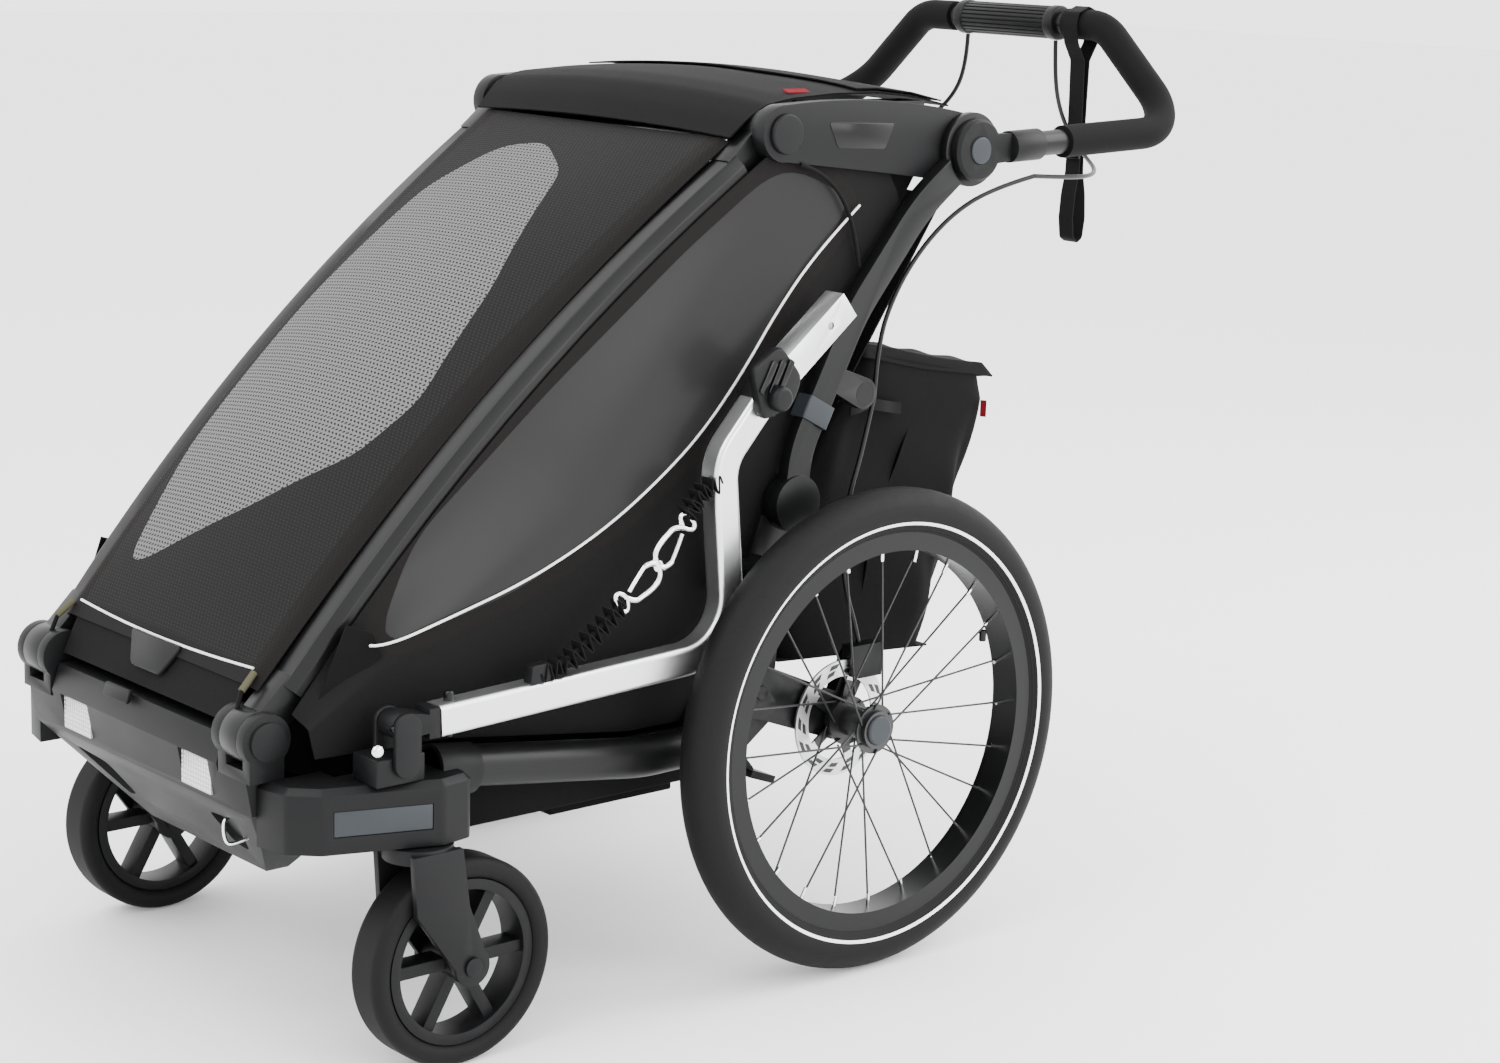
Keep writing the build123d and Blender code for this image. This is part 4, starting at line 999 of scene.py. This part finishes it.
for side, sign in SIDES.items():
    corners = rounded([(-0.026, 0.858), (0.064, 0.855), (0.051, 0.829), (-0.013, 0.832)], 0.004)
    flat_plate(f"side_badge_{side}", corners,
               lambda a, b, h, sign=sign: Vector((sign * (0.2402 + h), a, b)), 0.0010, 0.0003,
               gloss, "top_link")
    stud(f"link_cap_{side}", (sign * 0.2425, HEAD_Y, HEAD_Z), 0.020, 0.008, shell, "top_link")
    stud(f"rim_valve_{side}", (sign * WHEEL_X, 0.150, 0.327), 0.0038, 0.012, gloss,
         f"rear_wheel_{side}", "Z")
ARM_X = 0.2735              # mid-plane of the tow arm
stud("receiver_ball", (0.288, -0.5866, 0.319), 0.0062, 0.008, chrome, "frame", dome=0.9)
stud("arm_screw_top", (ARM_X, -0.4995, 0.352), 0.0048, 0.014, gloss, "tow_arm", "Z", 0.6)
stud("arm_screw_low", (ARM_X, -0.4995, 0.3185), 0.004, 0.008, gloss, "tow_arm", "Z", 0.6)
stud("tip_ball", (0.288, -0.110, 0.6195), 0.0066, 0.010, chrome, "tow_tip", dome=0.95)
for number, (y, z) in enumerate(((-0.568, 0.336), (-0.546, 0.336))):
    stud(f"receiver_bolt_{number}", (0.2865, y, z), 0.0035, 0.006, gloss, "frame")
print("small fittings placed")

# %% [markdown]
# Two safety straps hold the arm. Each is a webbing tube gathered over an elastic, so it looks
# shirred, and ends in a chrome snap hook. A hook is a bent wire body, a straight gate and a small
# collar. The strap is a ribbon laid in a tight zigzag along its line.

# %% Safety straps
def ribbon_lie(points, width, waves, height, across):
    """A rule that lays a ribbon along points, in waves of a height, width across."""
    wide = Vector(across).normalized() * width

    def at(u, v):
        spot = along(points, v)
        ahead = along(points, min(1, v + 0.01)) - along(points, max(0, v - 0.01))
        rise = ahead.normalized().cross(wide.normalized())
        return spot + wide * (u - 0.5) + rise * height * sin(2 * pi * waves * v)
    return at


def arm_spot(y, z, x=0.2795):
    return Vector((x, y / 1000, z / 1000))


def hook(name, eye, tip, body):
    """A snap hook from its eye, at the strap, to the bow that grips at its tip."""
    way = tip - eye
    side_way = way.normalized().cross(Vector((1, 0, 0)))
    bow = [(0.0, 0.0), (0.12, 0.22), (0.35, 0.26), (0.62, 0.3), (0.9, 0.26), (1.02, 0.0),
           (0.9, -0.2), (0.72, -0.24)]
    gate = [(0.12, -0.06), (0.4, -0.16), (0.72, -0.24)]
    for part, shape, radius in (("bow", bow, 0.0031), ("gate", gate, 0.0024)):
        route = [eye + way * a + side_way * (b * way.length) for a, b in shape]
        line_piece(f"{name}_{part}", route, radius, chrome, body)
    loop = [(0.0, 0.0), (-0.003, 0.011), (-0.012, 0.010), (-0.012, -0.010), (-0.003, -0.011),
            (0.0, 0.0)]
    line_piece(name + "_eye", [eye + way.normalized() * a + side_way * b for a, b in loop], 0.0026,
               chrome, body)


ARM_RING = (-262, 446)      # both hooks grip this ring
STRAPS = (("low", [(-404, 362), (-372, 366), (-340, 388), (-305, 414)], (-300, 420), 10),
          ("high", [(-190, 520), (-206, 516), (-220, 505), (-230, 490)], (-232, 480), 6))
for label, route, eye, waves in STRAPS:
    line = [arm_spot(y, z) for y, z in route]
    shirr = cloth_panel(f"shirred_strap_{label}", 6, 15 * waves,
                        ribbon_lie(line, 0.016, waves, 0.0085, (1, 0, 0)), webbing, "tow_arm",
                        0.0012)
    line_piece(f"strap_core_{label}", line, 0.0034, webbing, "tow_arm")
    hook(f"snap_hook_{label}", arm_spot(*eye), arm_spot(*ARM_RING), "tow_arm")
    if label == "low":
        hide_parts("safety_straps")
stud("arm_ring", arm_spot(*ARM_RING), 0.006, 0.004, chrome, "tow_arm", dome=0.5)


def arm_plate(name, corners, reach, x0, depth, bevel, finish):
    """A plate on the arm's side: its outline in y and z, from x0 outwards."""
    flat_plate(name, rounded(corners, reach), lambda a, b, h: Vector((x0 + h, a, b)), depth,
               bevel, finish, "tow_arm")


arm_plate("tip_clamp", [(-0.166, 0.630), (-0.130, 0.652), (-0.100, 0.618), (-0.112, 0.590),
                        (-0.150, 0.578)], 0.01, 0.2862, 0.012, 0.003, shell)
for number in range(3):
    y = -0.158 + 0.011 * number
    arm_plate(f"clamp_rib_{number}", [(y, 0.608 - 0.002 * number), (y + 0.006, 0.604),
                                      (y + 0.022, 0.634), (y + 0.016, 0.638)],
              0.002, 0.298, 0.003, 0.0008, gloss)
stud("clamp_knob", (0.303, -0.134, 0.600), 0.0125, 0.014, shell, "tow_arm", dome=0.35)
for label, y, z in (("low", -0.404, 0.362), ("high", -0.184, 0.524)):
    arm_plate(f"strap_anchor_{label}", [(y - 0.012, z - 0.010), (y + 0.012, z - 0.007),
                                        (y + 0.011, z + 0.010), (y - 0.010, z + 0.009)],
              0.004, ARM_X, 0.0125, 0.0014, shell)
print("straps and clamp done")

# %% [markdown]
# The twist grip that works the brakes sits in the middle of the handlebar. Its sleeve has long
# ribs for the fingers and a collar at each end. The wrist strap is one length of webbing folded
# over the bar: its two layers hang side by side and meet in a loop at the bottom.

# %% Twist grip and wrist strap
BAR = Vector((0, 0.474, 0.945))
deselect()
bpy.ops.mesh.primitive_cylinder_add(vertices=72, radius=0.0185, depth=0.132, location=BAR,
                                    rotation=(0, pi / 2, 0))
grip = active("grip_sleeve")
bpy.ops.object.mode_set(mode="EDIT")
bpy.ops.mesh.select_mode(type="FACE")
bpy.ops.mesh.select_all(action="DESELECT")
bpy.ops.object.mode_set(mode="OBJECT")
for number, face in enumerate(grip.data.polygons):
    turn = degrees(atan2(face.center.z - BAR.z, face.center.y - BAR.y))
    face.select = abs(face.normal.x) < 0.1 and int((turn + 360) // 5) % 3 == 0
bpy.ops.object.mode_set(mode="EDIT")
bpy.ops.mesh.inset(thickness=0.0004, depth=-0.0016, use_individual=True)
bpy.ops.object.mode_set(mode="OBJECT")
apply(grip, "BEVEL", width=0.0006, segments=2, limit_method="ANGLE", angle_limit=radians(30))
grip.data.materials.append(shell)
smooth(grip, 30)
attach(grip, "grip")
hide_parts("brake_grip")
for side, sign in SIDES.items():
    stud(f"grip_collar_{side}", (sign * 0.071, 0.474, 0.945), 0.0195, 0.014, shell, "grip",
         dome=0.2)

HALF_LOOP = [(0.0, 0.9645), (0.017, 0.958), (0.0195, 0.945), (0.016, 0.925), (0.004, 0.905),
             (0.003, 0.86), (0.0025, 0.80), (0.003, 0.78), (0.008, 0.755), (0.010, 0.728),
             (0.007, 0.706)]
STRAP_LOOP = [Vector((0, 0.474 + y, z)) for y, z in (
    *((-y, z) for y, z in HALF_LOOP), (0.0, 0.7015), *reversed(HALF_LOOP))]
STRAP_X, STRAP_W = 0.109, 0.021     # the loop's middle, and the width of its webbing


def on_strap(u, v):
    return along(STRAP_LOOP, v) + Vector((STRAP_X + STRAP_W * (u - 0.5), 0, 0))


strap = cloth_panel("wrist_webbing", 6, 160, on_strap, webbing, "handle", 0.0014)
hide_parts("wrist_strap")
strap_long = measure(STRAP_LOOP)
slider = rounded([(0.096, 0.795), (0.122, 0.795), (0.122, 0.812), (0.096, 0.812)], 0.003)
flat_plate("strap_slider", slider, lambda a, b, h: Vector((a, 0.4685 - h, b)), 0.0025, 0.0008,
           gloss, "handle")
print("wrist strap", round(strap_long, 3), "m long")

# %% [markdown]
# Every spoke ends in a bright plated nipple at the rim. They are tiny and there are many, so one
# nipple with a few faces is modelled and copied round each rim.

# %% Spoke nipples
SPOKES = 24


def nipples(side, sign):
    """One wheel's nipples, as one piece."""
    deselect()
    bpy.ops.mesh.primitive_cylinder_add(vertices=8, radius=0.0021, depth=0.013,
                                        location=(sign * WHEEL_X, 0.1815, AXLE.z),
                                        rotation=(0, pi / 2, pi / 2))
    first = active(f"nipples_{side}")
    copies = []
    for number in range(1, SPOKES):
        copy = first.copy()
        copy.data = first.data.copy()
        turn = Matrix.Rotation(number * 2 * pi / SPOKES, 4, "X")
        copy.data.transform(Matrix.Translation(AXLE) @ turn @ Matrix.Translation(-AXLE))
        bpy.context.scene.collection.objects.link(copy)
        copies.append(copy)
    deselect()
    for piece in [first, *copies]:
        piece.select_set(True)
    bpy.context.view_layer.objects.active = first
    bpy.ops.object.join()
    first.data.materials.append(chrome)
    smooth(first, 50)
    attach(first, f"rear_wheel_{side}")
    return first


for side, sign in SIDES.items():
    print(nipples(side, sign).name, "has", SPOKES, "nipples")

# %% [markdown]
# The cargo bag hangs behind the cabin. It is a lofted shell: each level of it is a rounded
# rectangle, and the levels follow its front and rear outlines. Hung cloth sags, so its walls bulge
# a little low down and crease under the rim. A lid with a turned-down skirt closes it.

# %% Cargo bag
BAG_FRONT = profile((-30, 300), (-41, 360), (-40, 430), (20, 545), (52, 570), (64.6, 618))
BAG_REAR = profile((186, 287), (200, 330), (222, 430), (243, 510), (254, 552), (245, 580))
SQUARENESS = 0.2            # 1 is an oval bag, 0 a box


def bag_ring(turn, v):
    """A place on the bag's wall: turn goes once round, v from the bottom to the rim."""
    a, b = along(BAG_FRONT, v), along(BAG_REAR, v)
    across, ahead = [(abs(part) ** SQUARENESS) * (1 if part > 0 else -1)
                     for part in (cos(2 * pi * turn), sin(2 * pi * turn))]
    half = 0.196 + 0.014 * v
    sag = (0.006 * sin(pi * v) * (0.4 + 0.6 * sin(2 * pi * turn * 7 + v * 5) ** 2)
           - 0.004 * sin(pi * v) * sin(v * 17 + turn * 40))
    spot = a + (b - a) * (0.5 + 0.5 * ahead)
    spot.x = across * half * (1 - 0.02 * sin(pi * v) ** 2)
    return spot + Vector((across * sag * 0.6, ahead * sag * 0.5 if ahead > 0 else 0, 0))


bag = cloth_panel("bag_shell", 120, 60, bag_ring, cloth, "frame", 0.0018)
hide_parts("cargo_bag")
bag_round = measure([bag_ring(n / 120, 0.5) for n in range(121)])
round(measure(BAG_FRONT), 3)


def bag_floor(u, v):
    hollow = 0.020 * sin(pi * u) * sin(pi * v)
    return Vector(((2 * u - 1) * 0.196, -0.030 + 0.216 * v, 0.300 - 0.013 * v - hollow))


base = cloth_panel("bag_base", 24, 24, bag_floor, cloth, "frame", 0.0018)


def bag_lid(u, v):
    edge = min(u, 1 - u, v * 0.6, (1 - v) * 0.6) * 0.43
    drop = 0.014 * (1 - min(1, edge / 0.010))
    crease = 0.0016 * sin(u * 46 + 6 * v) * (1 - min(1, edge / 0.05))
    a, b = Vector((0, 0.060, 0.6265)), Vector((0, 0.2505, 0.5905))
    spot = a + (b - a) * v
    spot.x = (2 * u - 1) * 0.2125
    spot.z += -drop + crease - 0.008 * sin(pi * u) * sin(pi * v)
    return spot


lid = cloth_panel("bag_lid", 90, 50, bag_lid, cloth, "frame", 0.0016)
bag_tag = cloth_panel("bag_red_tag", 4, 6, lambda u, v: Vector((
    0.2085 + 0.006 * u, 0.2385 + 0.003 * u, 0.535 + 0.018 * v)), red_cloth, "frame", 0.001)
bag_pieces = [bag, base, lid, bag_tag]
for side, sign in SIDES.items():
    route = [Vector((sign * x, y, z)) for x, y, z in (
        (0.238, 0.020, 0.566), (0.228, 0.055, 0.568), (0.2165, 0.112, 0.556))]
    tie = cloth_panel(f"bag_tie_{side}", 4, 30, ribbon_lie(route, 0.012, 2, 0.001, (0, 0, 1)),
                      webbing, "frame", 0.0014)
    bag_pieces.append(tie)
for piece in bag_pieces:
    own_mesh(piece)
print("bag is", round(bag_round, 2), "m round")

# %% [markdown]
# The seat is two foam pads in a tough fabric. A pad is not a box: its filling crowns it, and its
# sides pull in between the corners. Each starts as a rounded block, is remeshed evenly, and is
# blown up by a short cloth simulation whose points may move only a little. Sewn channels are
# pressed in afterwards, because the remesh would lose them.

# %% Seat pads
MOST = 0.010                # how far the filling may push a point out
CHANNEL_DEEP, CHANNEL_HALF = 0.007, 0.009   # depth and half width of a sewn channel


def pad(name, size, place, tilt, channels, node):
    """A padded block: its size, place and tilt about X, with pressed channels across it."""
    deselect()
    bpy.ops.mesh.primitive_cube_add(size=1)
    piece = bpy.context.object
    piece.scale = size
    piece = active(name)
    bpy.ops.object.mode_set(mode="EDIT")
    bpy.ops.mesh.select_all(action="SELECT")
    bpy.ops.mesh.subdivide(number_cuts=9)
    bpy.ops.object.mode_set(mode="OBJECT")
    apply(piece, "BEVEL", width=0.010, segments=3, limit_method="ANGLE", angle_limit=radians(50))
    apply(piece, "REMESH", mode="VOXEL", voxel_size=0.006)
    before = [v.co.copy() for v in piece.data.vertices]
    puff = piece.modifiers.new("puff", "CLOTH")
    puff.settings.use_pressure = True
    puff.settings.uniform_pressure_force = 4
    puff.settings.effector_weights.gravity = 0
    puff.settings.quality = 5
    scene = bpy.context.scene
    for number in range(1, 19):
        scene.frame_set(number)
    swollen = piece.evaluated_get(bpy.context.evaluated_depsgraph_get())
    after = [v.co.copy() for v in swollen.data.vertices]
    piece.modifiers.remove(puff)
    scene.frame_set(1)
    for vertex, was, now in zip(piece.data.vertices, before, after):
        step = now - was
        vertex.co = was + (step if step.length <= MOST else step * (MOST / step.length))
    for vertex in piece.data.vertices:
        top = max(0.0, vertex.co.z / size[2])
        for at, axis in channels:
            near = abs((vertex.co.y if axis == "y" else vertex.co.x) - at)
            press = max(0.0, 1 - near / CHANNEL_HALF) ** 2
            vertex.co.z -= CHANNEL_DEEP * min(1, 2 * top) * press
        vertex.co.z = max(vertex.co.z, -size[2] / 2)
    piece.data.transform(Matrix.Translation(place) @ Matrix.Rotation(tilt, 4, "X"))
    apply(piece, "SUBSURF", levels=1, render_levels=1)
    piece.data.materials.append(pad_cloth)
    smooth(piece, 60)
    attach(piece, "frame")
    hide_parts(node)
    return piece


seat = pad("seat_cushion", (0.350, 0.215, 0.026), (0, -0.236, 0.306), radians(-3),
           [(0.0, "x"), (0.03, "y")], "seat_base")
rest = pad("back_cushion", (0.340, 0.330, 0.026), (0, -0.058, 0.500), radians(-108),
           [(-0.055, "y"), (0.06, "y")], "seat_back")
print("cushions", seat.dimensions[:], rest.dimensions[:])

# %% [markdown]
# A five-point harness lies on the seat: two shoulder straps down the back pad, two lap straps and
# a crotch strap, which meet at a buckle. Webbing is flat, so each strap is a plain ribbon along
# its route, just off the pads. The shoulder straps pass through soft sleeves.

# %% Harness
def webbing_strip(name, route, width=0.022, finish=webbing, wall=0.0016, across=(1, 0, 0)):
    line = [Vector(spot) for spot in route]
    strip = cloth_panel(name, 4, 60, ribbon_lie(line, width, 1, 0.0, across), finish, "frame", wall)
    round(measure(line), 3)
    return strip


HARNESS = (
    ("shoulder_strap", ((0.060, -0.018, 0.640), (0.060, -0.060, 0.600), (0.055, -0.098, 0.500),
                        (0.035, -0.140, 0.400), (0.016, -0.165, 0.360)), {}),
    ("shoulder_sleeve", ((0.060, -0.045, 0.617), (0.058, -0.080, 0.560), (0.054, -0.1035, 0.495)),
     {"width": 0.042, "finish": pad_cloth, "wall": 0.006}),
    ("lap_strap", ((0.165, -0.135, 0.336), (0.100, -0.165, 0.344), (0.016, -0.178, 0.348)),
     {"across": (0, 0.4, 1)}))
harness = []
for side, sign in SIDES.items():
    for label, route, settings in HARNESS:
        route = [(sign * x, y, z) for x, y, z in route]
        harness.append(webbing_strip(f"{label}_{side}", route, **settings))
harness.append(webbing_strip("crotch_strap", [(0, -0.270, 0.331), (0, -0.225, 0.336),
                                              (0, -0.180, 0.348)]))
for piece in (seat, rest, *harness):
    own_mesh(piece)
buckle = rounded([(-0.02, -0.190), (0.02, -0.190), (0.02, -0.158), (-0.02, -0.158)], 0.008)
flat_plate("harness_buckle", buckle, lambda a, b, h: Vector((a, b, 0.351 + h)), 0.012, 0.003,
           shell, "frame")
print("harness has", len(harness), "strips")

# %% [markdown]
# Everything is in place.

# %% Finish
print("scene built")
